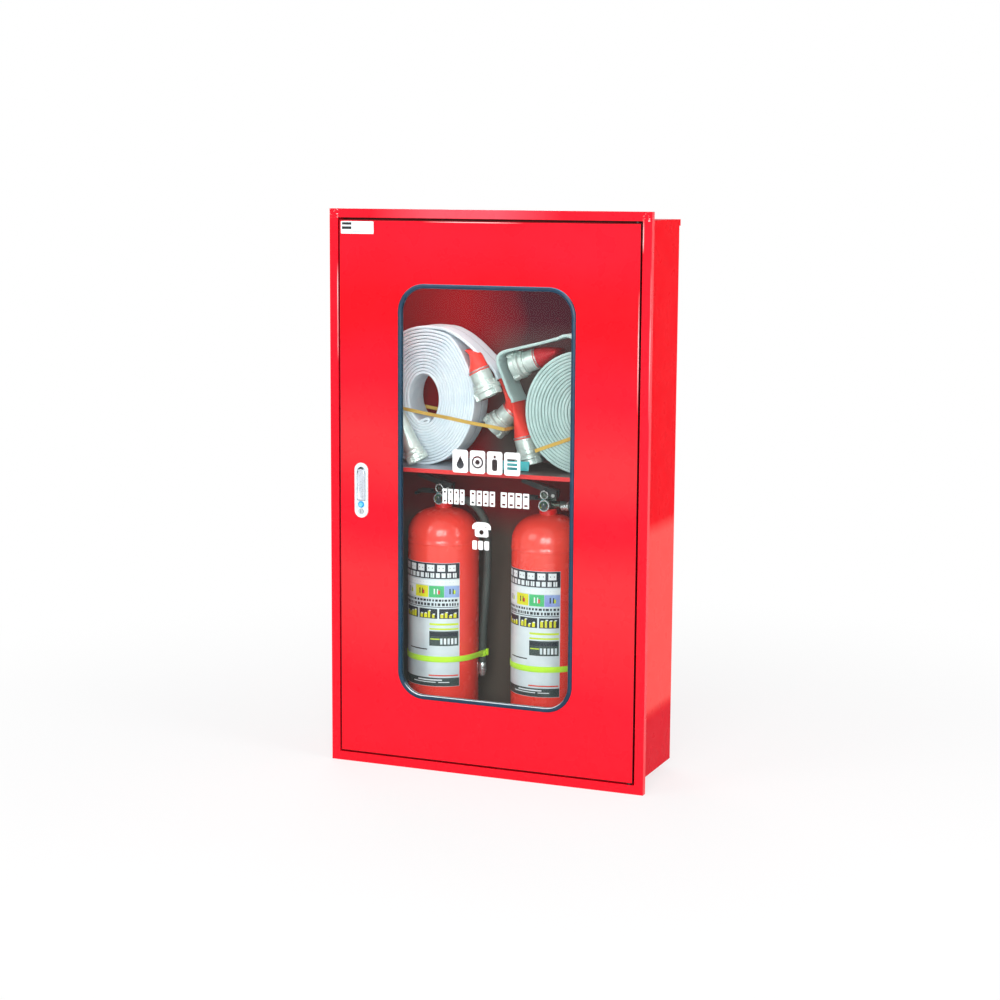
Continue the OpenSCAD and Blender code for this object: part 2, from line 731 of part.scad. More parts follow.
module coupling_left_upper() { coupling(left_upper, left_upper_y[1]); }
module coupling_left_lower() { coupling(left_lower, left_lower_y[1]); }
module coupling_right_upper() { coupling(right_upper, right_upper_y[1]); }
module coupling_right_lower() { coupling(right_lower, right_lower_y[1]); }

module branch_nozzle() {
    r = nozzle_ring_r;
    lift = r * sin(nozzle_lean) + seat;
    color(alloy) translate([nozzle_x, nozzle_y, shelf_z + lift]) rotate([0, -nozzle_lean, 0])
        rotate_extrude($fn = 48) polygon([[0, 12], [r - 6, 12], [r - 6, 0], [r - 1, 0], [r - 1, 5], [r, 6],
            [r, 14], [r - 2, 16], [r - 2, 22], [r - 4, 24], [r - 4, 34], [nozzle_tip_r + 2, nozzle_len - 40],
            [nozzle_tip_r + 4, nozzle_len - 38], [nozzle_tip_r + 4, nozzle_len - 6], [nozzle_tip_r + 2, nozzle_len],
            [nozzle_tip_r - 2, nozzle_len], [nozzle_tip_r - 2, nozzle_len - 30], [0, nozzle_len - 30]]);
}

// A tie is a flat loop round its roll, tilted in the plane of the roll
module tie(at, tilt, loop) {
    inner = [for (p = loop) [p[0], p[1]]];
    color([0.85, 0.65, 0.15]) translate([at[0], 0, at[1]]) rotate([0, tilt, 0])
        translate([0, 0, -tie_h / 2]) linear_extrude(tie_h) difference() {
            polygon([for (p = loop) [p[0] + sign(p[2]) * tie_t, p[1] + sign(p[3]) * tie_t]]);
            polygon(inner);
        }
}

// Half the chord of a roll's outline along a line that passes at a given height from its centre
function chord(half, off) = half[0] * sqrt(1 - pow(off / half[1], 2));

module roll_tie_left() {
    y0 = left_mid - hose_w / 2 - seat;
    y1 = left_mid + hose_w / 2 + seat;
    x0 = -left_roll_w / 2 - 1.5;
    x1 = left_lower[1][0] - left_c[0] + left_tie_reach;
    far = left_lower_y[1] + ring_d / 2 + lug_len;
    tie([left_c[0], shelf_z + left_tie_z], left_tie_tilt, [[x0, y0, -1, -1], [x1, y0, 1, -1],
        [x1 + 3, y0 + 20, 1, -1], [x1 + 3, far - 12, 1, 1], [x1 - 2, far, 1, 1], [x1 - ring_d, far, -1, 1],
        [x0, y1, -1, 1]]);
}

module roll_tie_right() {
    y0 = right_mid - hose_w / 2 - seat;
    y1 = right_mid + hose_w / 2 + seat;
    off = right_tie_off;
    c = chord([right_roll_d / 2, right_roll_d / 2], off) + 1;
    tie([right_c[0] + off * sin(-right_tie_tilt), right_c[1] - off * cos(right_tie_tilt)], right_tie_tilt,
        [[-c, y0, -1, -1], [c, y0, 1, -1], [c, y1, 1, 1], [-c, y1, -1, 1]]);
}

// ---- Extinguishers: each piece is drawn once and placed on the left or right axis ----

module bottle() {
    r = bottle_d / 2;
    t = bottle_wall;
    body_h = bottle_h - neck_h - dome_h;
    outer_dome = [for (a = [0:7.5:82.5]) [neck_r + (r - neck_r) * cos(a), body_h + dome_h * sin(a)]];
    inner_dome = [for (a = [82.5:-7.5:0]) [neck_bore + (r - t - neck_bore) * cos(a), body_h + (dome_h - t) * sin(a)]];
    color(paint) rotate_extrude($fn = 96) polygon(concat(
        [[0, foot_r], [r - 14, foot_r], [r - 10, 0], [r - foot_r + 3, 0], [r - 1, 2.5], [r, foot_r],
            [r, body_h - 14], [r + seam_r, body_h - 12.5], [r, body_h - 11]],
        outer_dome, [[neck_r, body_h + dome_h], [neck_r, bottle_h], [neck_bore, bottle_h],
            [neck_bore, body_h + dome_h - t]],
        inner_dome, [[r - t, foot_r + 4], [r - 14, foot_r + t], [0, foot_r + t]]));
}

module valve() {
    color(alloy) {
        cylinder(r = hex_r, h = hex_h, $fn = 6);
        translate([0, 0, -bottle_h + foot_r + bottle_wall + dip_clear])
            cylinder(r = dip_r, h = bottle_h - foot_r - bottle_wall - dip_clear + eps);
        cylinder(r = body_r, h = shoulder_h - handle_t);
        cylinder(r = waist_r, h = shoulder_h + eps);
        difference() {
            slab(-block_back, block_front, -block_w / 2, block_w / 2, shoulder_h, shoulder_h + block_h);
            translate([squeeze_x, 0, squeeze_z]) rod(squeeze_pin_r, -block_w, block_w);
        }
        translate([4, 0, shoulder_h + block_h - eps]) cylinder(r = 2.5, h = 1.5);
        translate([0, 0, outlet_z]) rotate([0, 90, 0]) cylinder(r = outlet_r, h = outlet_len);
        translate([0, 0, outlet_z]) rod(4.5, -hex_r - 1, 0);
    }
}

module gauge() {
    color(chrome) translate([0, 0, outlet_z]) difference() {
        rod(dial_r, -hex_r - 1 - dial_t, -hex_r - 1);
        rod(dial_r - 1.4, -hex_r - 2 - dial_t, -hex_r - 0.2 - dial_t);
    }
}

module carry_handle() {
    w = lever_out_w / 2;
    color(dark) difference() {
        union() {
            slab(-grip_len, block_front - 3, -w, w, shoulder_h - handle_t, shoulder_h);
            for (s = [-1, 1]) slab(-grip_len + 4, -block_back - 10, min(s * w, s * (w - handle_t)),
                max(s * w, s * (w - handle_t)), shoulder_h - handle_t, shoulder_h + 5);
            translate([-grip_len, 0, shoulder_h - 3]) rotate([90, 0, 0])
                cylinder(r = 3, h = 2 * w, center = true);
        }
        translate([0, 0, shoulder_h - handle_t - 1]) cylinder(r = waist_r + run_clear, h = handle_t + 2);
    }
}

module squeeze_pivot() {
    w = lever_out_w / 2;
    color(chrome) translate([squeeze_x, 0, squeeze_z]) {
        rod(squeeze_pin_r, -w, w);
        rod(squeeze_pin_r + 1.2, -w - 1.2, -w - 0.1);
        rod(squeeze_pin_r + 1.2, w + 0.1, w + 1.2);
        rod(squeeze_pin_r - 0.3, -w - 0.5, w + 0.5);
    }
}

module squeeze_lever() {
    w = lever_out_w / 2;
    in = lever_in_w / 2;
    top = 12; // plate above the pivot
    slot_at = [safety_x - squeeze_x, safety_z - squeeze_z];
    slot_r = norm(slot_at);
    slot_a = atan2(slot_at[1], slot_at[0]);
    color(dark) translate([squeeze_x, 0, squeeze_z]) difference() {
        rotate([0, squeeze_rise, 0]) difference() {
            union() {
                upright(-w, 2 * w) {
                    circle(6.5);
                    translate([-26, 0]) square([26, top]);
                    polygon([[-3, -6], [-26, 2], [-squeeze_len, 4], [-squeeze_len, top], [4, top], [5, 4]]);
                }
                translate([-squeeze_len, 0, 7]) rod(3, -w, w);
            }
            slab(-squeeze_len + 4, 30, -in, in, -30, top - handle_t);
            rod(squeeze_pin_r + run_clear, -w - 1, w + 1);
        }
        for (k = [0:3]) rotate([0, k * squeeze_deg / 3, 0]) translate([slot_at[0], 0, slot_at[1]])
            rod(safety_r + 0.3, -w - 1, w + 1);
    }
}

module safety_pin() {
    w = lever_out_w / 2;
    color(chrome) translate([safety_x, 0, safety_z]) {
        rod(safety_r, -w - 3 - ring_wire, w + 4);
        translate([0, -w - 3, -ring_r]) rotate([90, 0, 0]) rotate_extrude()
            translate([ring_r, 0]) circle(ring_wire, $fn = 16);
    }
}

// Tube swept along a list of points, with a ring square to the route at each
function ring_at(p, i, r, n) = let(
    d = unit(p[min(i + 1, len(p) - 1)] - p[max(i - 1, 0)]),
    u = unit(cross(d, [0, 1, 0])), v = cross(d, u))
    [for (j = [0:n - 1]) p[i] + r * (cos(360 * j / n) * u + sin(360 * j / n) * v)];
module swept_tube(p, r, n) {
    skin([for (i = [0:len(p) - 1]) ring_at(p, i, r, n)]);
}

module spout_hose() {
    color(dark) swept_tube(spout_route, spout_d / 2, 12);
}

module spout_tip() {
    end = spout_route[len(spout_route) - 1];
    color(alloy) translate([end[0], end[1], end[2] - tip_len]) rotate_extrude()
        polygon([[3, 0], [4.5, 0], [6, 4], [6.5, 10], [spout_d / 2, 12], [spout_d / 2, tip_len], [0, tip_len],
            [0, tip_len - 6], [3, tip_len - 6]]);
}

module strap() {
    r = bottle_d / 2 + 0.1;
    hose_r = spout_d / 2 + 0.3;
    z = -strap_drop - strap_h / 2;
    color([0.72, 0.95, 0.1]) translate([0, 0, z]) {
        linear_extrude(strap_h) difference() {
            union() {
                circle(r + strap_t, $fn = 96);
                translate([spout_x, spout_y]) circle(hose_r + strap_t);
            }
            circle(r, $fn = 96);
            translate([spout_x, spout_y]) circle(hose_r);
        }
        translate([spout_x + hose_r - 1, spout_y - hose_r - strap_t - 0.5, 0]) cube([3, 6, strap_h]);
    }
}

module place(x) {
    translate([x, bottle_y, valve_z]) children();
}

module bottle_left() { translate([left_x, bottle_y, floor_z]) bottle(); }
module valve_left() { place(left_x) valve(); }
module gauge_left() { place(left_x) gauge(); }
module carry_handle_left() { place(left_x) carry_handle(); }
module squeeze_pivot_left() { place(left_x) squeeze_pivot(); }
module squeeze_lever_left() { place(left_x) squeeze_lever(); }
module safety_pin_left() { place(left_x) safety_pin(); }
module spout_hose_left() { place(left_x) spout_hose(); }
module spout_tip_left() { place(left_x) spout_tip(); }
module strap_left() { place(left_x) strap(); }
module bottle_right() { translate([right_x, bottle_y, floor_z]) bottle(); }
module valve_right() { place(right_x) valve(); }
module gauge_right() { place(right_x) gauge(); }
module carry_handle_right() { place(right_x) carry_handle(); }
module squeeze_pivot_right() { place(right_x) squeeze_pivot(); }
module squeeze_lever_right() { place(right_x) squeeze_lever(); }
module safety_pin_right() { place(right_x) safety_pin(); }
module spout_hose_right() { place(right_x) spout_hose(); }
module spout_tip_right() { place(right_x) spout_tip(); }
module strap_right() { place(right_x) strap(); }

echo(str("least gap in the left roll: ", least_gap(left_spiral, hose_t)));
echo(str("least gap in the right roll: ", least_gap(right_spiral, hose_t)));

body_wrap();
top_panel();
bottom_panel();
face_frame();
shelf();
shelf_brackets();
pivot_pins();
pivot_washer();
magnet_catch();
door_panel();
pivot_plates();
window_gasket();
window_glass();
keeper_plate();
handle_plate();
lock_clamp();
lock_screws();
lever_pin();
pull_lever();
push_button();
key_plug();
lock_cam();
cam_screw();
hose_roll_left();
hose_roll_right();
hose_sleeves_left();
hose_sleeves_right();
coupling_left_upper();
coupling_left_lower();
coupling_right_upper();
coupling_right_lower();
branch_nozzle();
roll_tie_left();
roll_tie_right();
bottle_left();
valve_left();
gauge_left();
carry_handle_left();
squeeze_pivot_left();
squeeze_lever_left();
safety_pin_left();
spout_hose_left();
spout_tip_left();
strap_left();
bottle_right();
valve_right();
gauge_right();
carry_handle_right();
squeeze_pivot_right();
squeeze_lever_right();
safety_pin_right();
spout_hose_right();
spout_tip_right();
strap_right();
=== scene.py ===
import bpy
import bmesh
import math
import random
from mathutils import Matrix, Vector, noise


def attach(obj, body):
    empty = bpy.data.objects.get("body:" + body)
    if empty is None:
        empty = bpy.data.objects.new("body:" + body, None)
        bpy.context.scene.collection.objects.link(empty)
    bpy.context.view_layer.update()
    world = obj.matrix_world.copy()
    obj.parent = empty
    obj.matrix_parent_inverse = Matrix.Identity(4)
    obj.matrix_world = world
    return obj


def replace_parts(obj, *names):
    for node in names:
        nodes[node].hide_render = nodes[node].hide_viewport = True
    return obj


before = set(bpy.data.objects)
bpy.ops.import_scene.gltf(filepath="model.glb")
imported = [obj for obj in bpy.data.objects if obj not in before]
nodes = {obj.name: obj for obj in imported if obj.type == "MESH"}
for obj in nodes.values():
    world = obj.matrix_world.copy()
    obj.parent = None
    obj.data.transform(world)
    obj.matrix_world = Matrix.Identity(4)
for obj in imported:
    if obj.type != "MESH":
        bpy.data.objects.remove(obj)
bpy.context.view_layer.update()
scene = bpy.context.scene
scene.view_settings.view_transform = "Standard"
mm = 0.001
print("frame loaded:", len(nodes), "nodes")

# camera
cameraSet = {"place": (1.43396, -3.58495, 0.54317), "turn": (1.423578, -0.006273, 0.394239), "lens": 76.58}
camera = bpy.data.objects.new("photoCamera", bpy.data.cameras.new("photoCamera"))
camera.location = cameraSet["place"]
camera.rotation_euler = cameraSet["turn"]
camera.data.lens = cameraSet["lens"]
camera.data.sensor_width = 36
scene.collection.objects.link(camera)
scene.camera = camera


# small tools for shapes
def smoothPath(points, perSpan):  # a curve through the points, with perSpan steps between two of them
    pts = [Vector(p) for p in points]
    out = []
    for i in range(len(pts) - 1):
        a, b, c, d = pts[max(i - 1, 0)], pts[i], pts[i + 1], pts[min(i + 2, len(pts) - 1)]
        for k in range(perSpan):
            t = k / perSpan
            square, cube = 2 * a - 5 * b + 4 * c - d, 3 * b - a - 3 * c + d
            out.append(0.5 * (2 * b + (c - a) * t + square * t * t + cube * t ** 3))
    return out + [pts[-1]]


def sweepRings(rings, loop=False, capped=True):  # skins a row of rings; the UV map is in metres, round and along
    bm = bmesh.new()
    count = len(rings[0])
    verts = [bm.verts.new(p) for p in rings[0]]
    firstEdges = edges = [bm.edges.new((verts[j], verts[(j + 1) % count])) for j in range(count)]
    spot = {v: (0, j) for j, v in enumerate(verts)}
    for i, ring in enumerate(rings[1:], 1):
        made = bmesh.ops.extrude_edge_only(bm, edges=edges)["geom"]
        fresh = {g for g in made if isinstance(g, bmesh.types.BMVert)}
        verts = [next(e.other_vert(v) for e in v.link_edges if e.other_vert(v) in fresh) for v in verts]
        for j, (v, p) in enumerate(zip(verts, ring)):
            v.co = p
            spot[v] = (i, j)
        edges = [bm.edges.get((verts[j], verts[(j + 1) % count])) for j in range(count)]
    if loop:
        bmesh.ops.bridge_loops(bm, edges=firstEdges + edges)
    elif capped:
        bmesh.ops.contextual_create(bm, geom=firstEdges)
        bmesh.ops.contextual_create(bm, geom=edges)
    around = [0.0]
    for j in range(count):
        around.append(around[-1] + (Vector(rings[0][(j + 1) % count]) - Vector(rings[0][j])).length)
    middles = [sum((Vector(p) for p in ring), Vector()) / count for ring in rings]
    along = [0.0]
    for a, b in zip(middles, middles[1:] + middles[:1]):
        along.append(along[-1] + (b - a).length)
    uv = bm.loops.layers.uv.new("UVMap")
    for face in bm.faces:
        spots = [spot[v] for v in face.verts]
        wrapsRound = {0, count - 1} <= {s[1] for s in spots} and count > 2
        wrapsLong = loop and {0, len(rings) - 1} <= {s[0] for s in spots}
        for corner, (i, j) in zip(face.loops, spots):
            i = len(rings) if wrapsLong and i == 0 else i
            j = count if wrapsRound and j == 0 else j
            corner[uv].uv = (around[j], along[i])
    bmesh.ops.recalc_face_normals(bm, faces=bm.faces)
    return bm


def tubeRings(points, radius, sides):  # round rings square to a path; radius may be a function of the share along
    pts = [Vector(p) for p in points]
    side = Vector((0, 1, 0))
    rings = []
    for i, p in enumerate(pts):
        along = (pts[min(i + 1, len(pts) - 1)] - pts[max(i - 1, 0)]).normalized()
        side = (side - along * side.dot(along)).normalized()
        up = along.cross(side)
        r = radius(i / (len(pts) - 1)) if callable(radius) else radius
        rings.append([p + r * (math.cos(a) * side + math.sin(a) * up)
                      for a in (2 * math.pi * k / sides for k in range(sides))])
    return rings


def lathe(profile, steps=64):  # spins (radius, height) points, in mm, round +Z
    bm = bmesh.new()
    verts = [bm.verts.new((r * mm, 0, z * mm)) for r, z in profile]
    edges = [bm.edges.new(pair) for pair in zip(verts, verts[1:])]
    bmesh.ops.spin(bm, geom=verts + edges, cent=(0, 0, 0), axis=(0, 0, 1), angle=2 * math.pi, steps=steps,
                   use_merge=True)
    bmesh.ops.remove_doubles(bm, verts=bm.verts, dist=1e-6)
    bmesh.ops.recalc_face_normals(bm, faces=bm.faces)
    return bm


def block(size, edge=0.5, segments=2):  # a box of that size in mm with softened edges, about the origin
    bm = bmesh.new()
    bmesh.ops.create_cube(bm, size=1)
    bmesh.ops.scale(bm, vec=[s * mm for s in size], verts=bm.verts)
    bmesh.ops.bevel(bm, geom=bm.edges, offset=edge * mm, segments=segments, affect="EDGES", profile=0.5, material=-1)
    return bm


def put(bm, matrix):
    bmesh.ops.transform(bm, matrix=matrix, verts=bm.verts)


def addPart(bm, part, matrix=Matrix(), slot=None):  # puts one mesh into another
    if slot is not None:
        for face in part.faces:
            face.material_index = slot
    put(part, matrix)
    mesh = bpy.data.meshes.new("part")
    part.to_mesh(mesh)
    part.free()
    bm.from_mesh(mesh)
    bpy.data.meshes.remove(mesh)


def shift(x, y, z):
    return Matrix.Translation((x * mm, y * mm, z * mm))


def turn(degrees, axis):
    return Matrix.Rotation(math.radians(degrees), 4, axis)


def makePiece(name, bm, materials, body="cabinet", sharp=35):
    mesh = bpy.data.meshes.new(name)
    bm.to_mesh(mesh)
    bm.free()
    for material in materials:
        mesh.materials.append(material)
    mesh.shade_smooth()
    mesh.set_sharp_from_angle(angle=math.radians(sharp))
    piece = bpy.data.objects.new(name, mesh)
    scene.collection.objects.link(piece)
    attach(piece, body)
    return piece


# finishes
def screen(r, g, b):  # a colour as seen on a screen
    return tuple((c / 255 / 12.92) if c < 11 else ((c / 255 + 0.055) / 1.055) ** 2.4 for c in (r, g, b)) + (1.0,)


def nodeMaker(tree):  # gives the function that adds nodes to this tree and links or types in their values
    def node(kind, **values):
        made = tree.nodes.new("ShaderNode" + kind)
        for key, value in values.items():
            if isinstance(value, bpy.types.NodeSocket):
                tree.links.new(value, made.inputs[key])
            elif key in made.inputs:
                made.inputs[key].default_value = value
            else:
                setattr(made, key, value)
        return made

    return node


def newFinish(name):
    material = bpy.data.materials.new(name)
    material.use_nodes = True
    tree = material.node_tree
    return material, tree.nodes["Principled BSDF"], nodeMaker(tree), tree.links.new


def feed(kind, picks, values, **settings):  # adds a node to the tree that the values come from, and fills its inputs
    tree = next(v.id_data for v in values if isinstance(v, bpy.types.NodeSocket))
    made = nodeMaker(tree)(kind, **settings)
    for pick, value in zip(picks, values):
        if isinstance(value, bpy.types.NodeSocket):
            tree.links.new(value, made.inputs[pick])
        else:
            made.inputs[pick].default_value = value
    return made.outputs


def calc(operation, a, b=0.0, clamp=False):
    return feed("Math", (0, 1), (a, b), operation=operation, use_clamp=clamp)[0]


def times(*values):
    product = values[0]
    for value in values[1:]:
        product = calc("MULTIPLY", product, value)
    return product


def above(a, b):
    return calc("GREATER_THAN", a, b)


def below(a, b):
    return calc("LESS_THAN", a, b)


def sizeOf(a):
    return calc("ABSOLUTE", a)


def blend(share, a, b):
    return feed("Mix", (0, 6, 7), (share, a, b), data_type="RGBA")[2]


def split(vector):
    return feed("SeparateXYZ", (0,), (vector,))


def ramp(value, low, high):  # 0 below low, 1 above high
    return feed("MapRange", ("Value", "From Min", "From Max"), (value, low, high))["Result"]


def band(value, low, high, soft):  # 1 between low and high
    return times(ramp(value, low - soft, low + soft), ramp(value, high + soft, high - soft))


def cloudOf(place, scale, detail=2.0, **more):
    return feed("TexNoise", ("Vector", "Scale", "Detail"), (place, scale, detail), **more)["Fac"]


def facingOf(node):  # the way the surface faces, as x, y and z
    return split(node("NewGeometry").outputs["Normal"])


def surface(name, colour, second, patch=8, rough=(0.3, 0.4), metal=0.0, grain=(600, 0.1, 0.1), edge=0.0,
            coat=0.0, coatRough=0.1, specular=0.5, extra=None):
    # colour and second mingle in patches of that scale; grain is scale, strength and height in mm;
    # edge rounds corners, in mm; extra adds what is special to one piece
    material, shader, node, join = newFinish(name)
    place = node("TexCoord").outputs["Object"]
    cloud = cloudOf(place, patch, 4.0, Roughness=0.55)
    mingled = blend(ramp(cloud, 0.35, 0.65), screen(*colour), screen(*second))
    smear = cloudOf(place, patch * 5, 3.0)
    roughness = node("MapRange", Value=smear, **{"From Min": 0.3, "From Max": 0.7, "To Min": rough[0],
                                                 "To Max": rough[1]})
    bump = node("Bump", Height=cloudOf(place, grain[0]), Strength=grain[1], Distance=grain[2] * mm)
    if edge:
        join(node("Bevel", Radius=edge * mm, samples=4).outputs[0], bump.inputs["Normal"])
    if extra:
        mingled = extra(node, place, mingled)
    join(mingled, shader.inputs["Base Color"])
    join(roughness.outputs["Result"], shader.inputs["Roughness"])
    join(bump.outputs[0], shader.inputs["Normal"])
    shader.inputs["Metallic"].default_value = metal
    shader.inputs["Coat Weight"].default_value = coat
    shader.inputs["Coat Roughness"].default_value = coatRough
    shader.inputs["Specular IOR Level"].default_value = specular
    return material


# weld and nick are the frame's own marks; all other tones here are painted light: painted reflections and highlights on
# the door, the frame and the right side, painted shade and reflection inside the box, and painted shade in the gaps
# round the door
redTones = {name: screen(*rgb) for name, rgb in {
    "paleReflection": (244, 52, 56), "deep": (236, 0, 22), "paintedGlint": (250, 190, 188), "weld": (150, 5, 22), "nick": (250, 170, 170),
    "backLeftShade": (160, 16, 26), "backRightShade": (70, 24, 38), "backLowShade": (98, 86, 82), "underShelfShade": (118, 34, 36),
    "lowWallShade": (92, 74, 66), "lowLeftShade": (88, 92, 84), "sideFloorReflection": (248, 84, 80), "sideLowReflection": (216, 26, 42),
    "topHighlight": (250, 84, 98), "topEdgeLightAndShade": (140, 2, 10), "gap": (72, 3, 8), "topGapShade": (112, 0, 4)}.items()}
# half widths and heights in metres: the frame's outside and opening, and the door's edge
steel = {"wide": 0.3, "tall": 0.5, "openWide": 0.2835, "openTall": 0.4835, "doorWide": 0.2805, "doorTall": 0.4805,
         "frontY": -0.2, "hair": 0.0003}


def doorLightAndShade(node, place, colour):  # painted reflection in paler and deeper level bands across the door, painted highlights on its right and top edges, and painted shade on its edges beside the gap
    x, y, z = split(place)
    # painted reflection: paler and deeper level bands stand in for the soft reflections on the door's coat
    wander = times(calc("SUBTRACT", cloudOf(place, 2.6), 0.5), 0.16)
    height = calc("ADD", z, wander)
    deep = times(ramp(height, 0.22, 0.29), ramp(height, 0.42, 0.34))
    paleReflection = calc("ADD", times(ramp(height, -0.02, 0.05), ramp(height, 0.19, 0.1)),
                times(ramp(height, -0.36, -0.2), ramp(height, -0.06, -0.14)), clamp=True)
    colour = blend(times(paleReflection, 0.55), colour, redTones["paleReflection"])
    colour = blend(deep, colour, redTones["deep"])
    # painted highlights along the door's right edge and the middle of its top edge
    rightEdgeGlint = times(above(x, steel["doorWide"] - 0.0023), band(z, 0.2, 0.33, 0.04))
    topEdgeLightAndShade = times(above(z, steel["doorTall"] - 0.003), band(x, -0.09, 0.04, 0.03))
    colour = blend(times(calc("MAXIMUM", rightEdgeGlint, topEdgeLightAndShade), 0.8), colour, redTones["paintedGlint"])
    # painted shade on the door's side, top and bottom edges beside the gap
    nearFront = ramp(y, -0.19, -0.194)
    side = times(above(sizeOf(x), steel["doorWide"] - 0.0006), nearFront)
    upperHalf = times(above(z, 0.0), 0.0008)
    level = above(calc("ADD", sizeOf(z), upperHalf), steel["doorTall"] - 0.0006)
    colour = blend(times(level, nearFront), colour, redTones["topGapShade"])
    return blend(side, colour, redTones["gap"])


def insideShade(node, place, colour):  # painted shade and painted reflection on the faces within the steel box, and a painted reflection of the floor on the outer right side
    x, y, z = split(place)
    within = times(below(sizeOf(x), steel["openWide"] - 0.0001), below(y, -0.0006), below(sizeOf(z), steel["openTall"]))
    cloud = cloudOf(place, 5.0, 3.0, Distortion=0.6)
    across = calc("ADD", x, times(calc("SUBTRACT", cloud, 0.5), 0.08))
    # painted shade and painted reflection: red at the upper left, dark purple at the upper right and greyer low down
    # there, grey-brown below the shelf and redder just under it
    upper = blend(ramp(across, -0.11, -0.01), redTones["backLeftShade"], redTones["backRightShade"])
    lower = blend(ramp(across, -0.2, 0.02), redTones["lowLeftShade"], redTones["lowWallShade"])
    lower = blend(ramp(z, -0.1, -0.05), lower, redTones["underShelfShade"])
    upper = blend(times(ramp(x, -0.1, -0.04), ramp(z, 0.3, 0.2)), upper, redTones["backLowShade"])
    inner = blend(ramp(z, 0.03, 0.05), lower, upper)
    # painted reflection on the outer right side: deep red, a paler band of mirrored floor, and darker red at the foot
    flank = blend(band(z, -0.375, -0.045, 0.012), redTones["deep"], redTones["sideFloorReflection"])
    flank = blend(ramp(z, -0.365, -0.39), flank, redTones["sideLowReflection"])
    rightSide = times(above(x, 0.0), ramp(facingOf(node)[0], 0.4, 0.6))
    return blend(within, blend(rightSide, colour, flank), inner)


def frameWeldsAndPaintedLight(node, place, colour):  # the frame: ground welds across its corners and pale nicks; painted highlights on a few edges and on the top member; painted shade along the top of the opening and on the faces at the gap
    x, y, z = split(place)
    wide, tall, hair = sizeOf(x), sizeOf(z), steel["hair"]
    alongX, alongZ = calc("SUBTRACT", wide, steel["wide"]), calc("SUBTRACT", tall, steel["tall"])
    corner = times(above(alongX, -0.0165), above(alongZ, -0.0165))
    line = times(below(sizeOf(calc("SUBTRACT", alongX, alongZ)), 0.0004), corner)
    scratch = cloudOf(place, 150.0, 3.0, Distortion=2.0)
    colour = blend(line, colour, redTones["weld"])
    colour = blend(times(above(scratch, 0.64), corner, above(z, 0.0)), colour, redTones["nick"])
    # painted highlights on the inner left edge, the top of the inner right edge and the outer right edge, on the front
    # face only and in patches
    paintedGlint = times(band(x, -0.2855, -0.2830, hair), band(z, 0.25, 0.386, 0.02))
    for low, high, start, end, fade in ((0.2832, 0.2860, 0.44, 0.48, 0.01), (0.2986, 0.31, 0.22, 0.33, 0.08)):
        paintedGlint = calc("MAXIMUM", paintedGlint, times(band(x, low, high, hair), band(z, start, end, fade)))
    patchy = ramp(cloudOf(place, 14.0), 0.2, 0.6)
    paintedGlint = times(paintedGlint, patchy, below(y, steel["frontY"] + 0.0012))
    # painted highlight: the top member is paler in its middle
    topMemberHighlight = times(above(z, steel["openTall"]), band(x, -0.16, 0.08, 0.06), 0.8)
    colour = blend(topMemberHighlight, colour, redTones["topHighlight"])
    colour = blend(paintedGlint, colour, redTones["paintedGlint"])
    # painted shade: a dark band along the top of the opening, dark faces within the opening and dark walls round it at
    # the gap
    rim = times(band(z, 0.48, 0.4848, 0.0004), below(wide, steel["openWide"] + hair))
    colour = blend(rim, colour, redTones["topEdgeLightAndShade"])
    opening = times(below(wide, steel["openWide"] - 0.00005), below(tall, steel["openTall"] - 0.00005))
    colour = blend(opening, colour, redTones["gap"])
    walls = times(below(wide, steel["openWide"] + hair), below(tall, steel["openTall"] + hair),
                  below(sizeOf(facingOf(node)[1]), 0.5))
    return blend(walls, colour, blend(above(tall, steel["openTall"] - hair), redTones["gap"], redTones["topGapShade"]))


def enamel(name, edge, **more):  # the red stoving enamel of the cabinet
    return surface(name, (240, 10, 34), (238, 14, 38), 5, grain=(240, 0.06, 0.1), edge=edge, **more)


paint = enamel("redEnamel", 0.7, rough=(0.24, 0.34), coat=0.14, specular=0.12, extra=doorLightAndShade)
framePaint = enamel("redEnamelFrame", 0.7, rough=(0.24, 0.34), coat=0.14, specular=0.12, extra=frameWeldsAndPaintedLight)
boxPaint = enamel("redEnamelBox", 0.4, rough=(0.24, 0.36), specular=0.008, extra=insideShade)


def shelfTop(node, place, colour):  # painted reflection: the upper face is bluish white towards the left and dark brown towards the right
    topReflection = blend(ramp(split(place)[0], -0.14, 0.0), screen(176, 184, 196), screen(92, 78, 76))
    return blend(ramp(facingOf(node)[2], 0.5, 0.9), colour, topReflection)


def gasketHighlights(node, place, colour):  # painted highlights: pale on the upward faces of the sill and teal on the upward faces of the top run
    up, z = facingOf(node)[2], split(place)[2]
    sill = times(ramp(up, 0.45, 0.75), ramp(z, -0.2, -0.3))
    head = times(ramp(up, 0.45, 0.8), ramp(z, 0.1, 0.3), 0.9)
    colour = blend(head, colour, screen(78, 166, 198))
    return blend(sill, colour, screen(226, 236, 242))


shelfPaint = surface("shelfEnamel", (232, 50, 50), (220, 40, 44), 9, (0.3, 0.45), grain=(300, 0.1, 0.1), edge=0.5,
                     extra=shelfTop)
# painted shade: the brackets under the shelf are a darker copy of the shelf's red
bracketPaint = surface("bracketEnamel", (96, 40, 38), (84, 34, 34), 9, (0.35, 0.5), grain=(300, 0.1, 0.1), edge=0.4)
gasketRubber = surface("gasketRubber", (14, 56, 80), (10, 44, 66), 30, (0.3, 0.42), grain=(900, 0.15, 0.05),
                       edge=0.8, coat=0.12, coatRough=0.12, specular=0.25, extra=gasketHighlights)
zincPlate = surface("zincPlate", (196, 198, 196), (176, 180, 180), 60, (0.25, 0.4), 0.9, (800, 0.15, 0.05), 0.3)
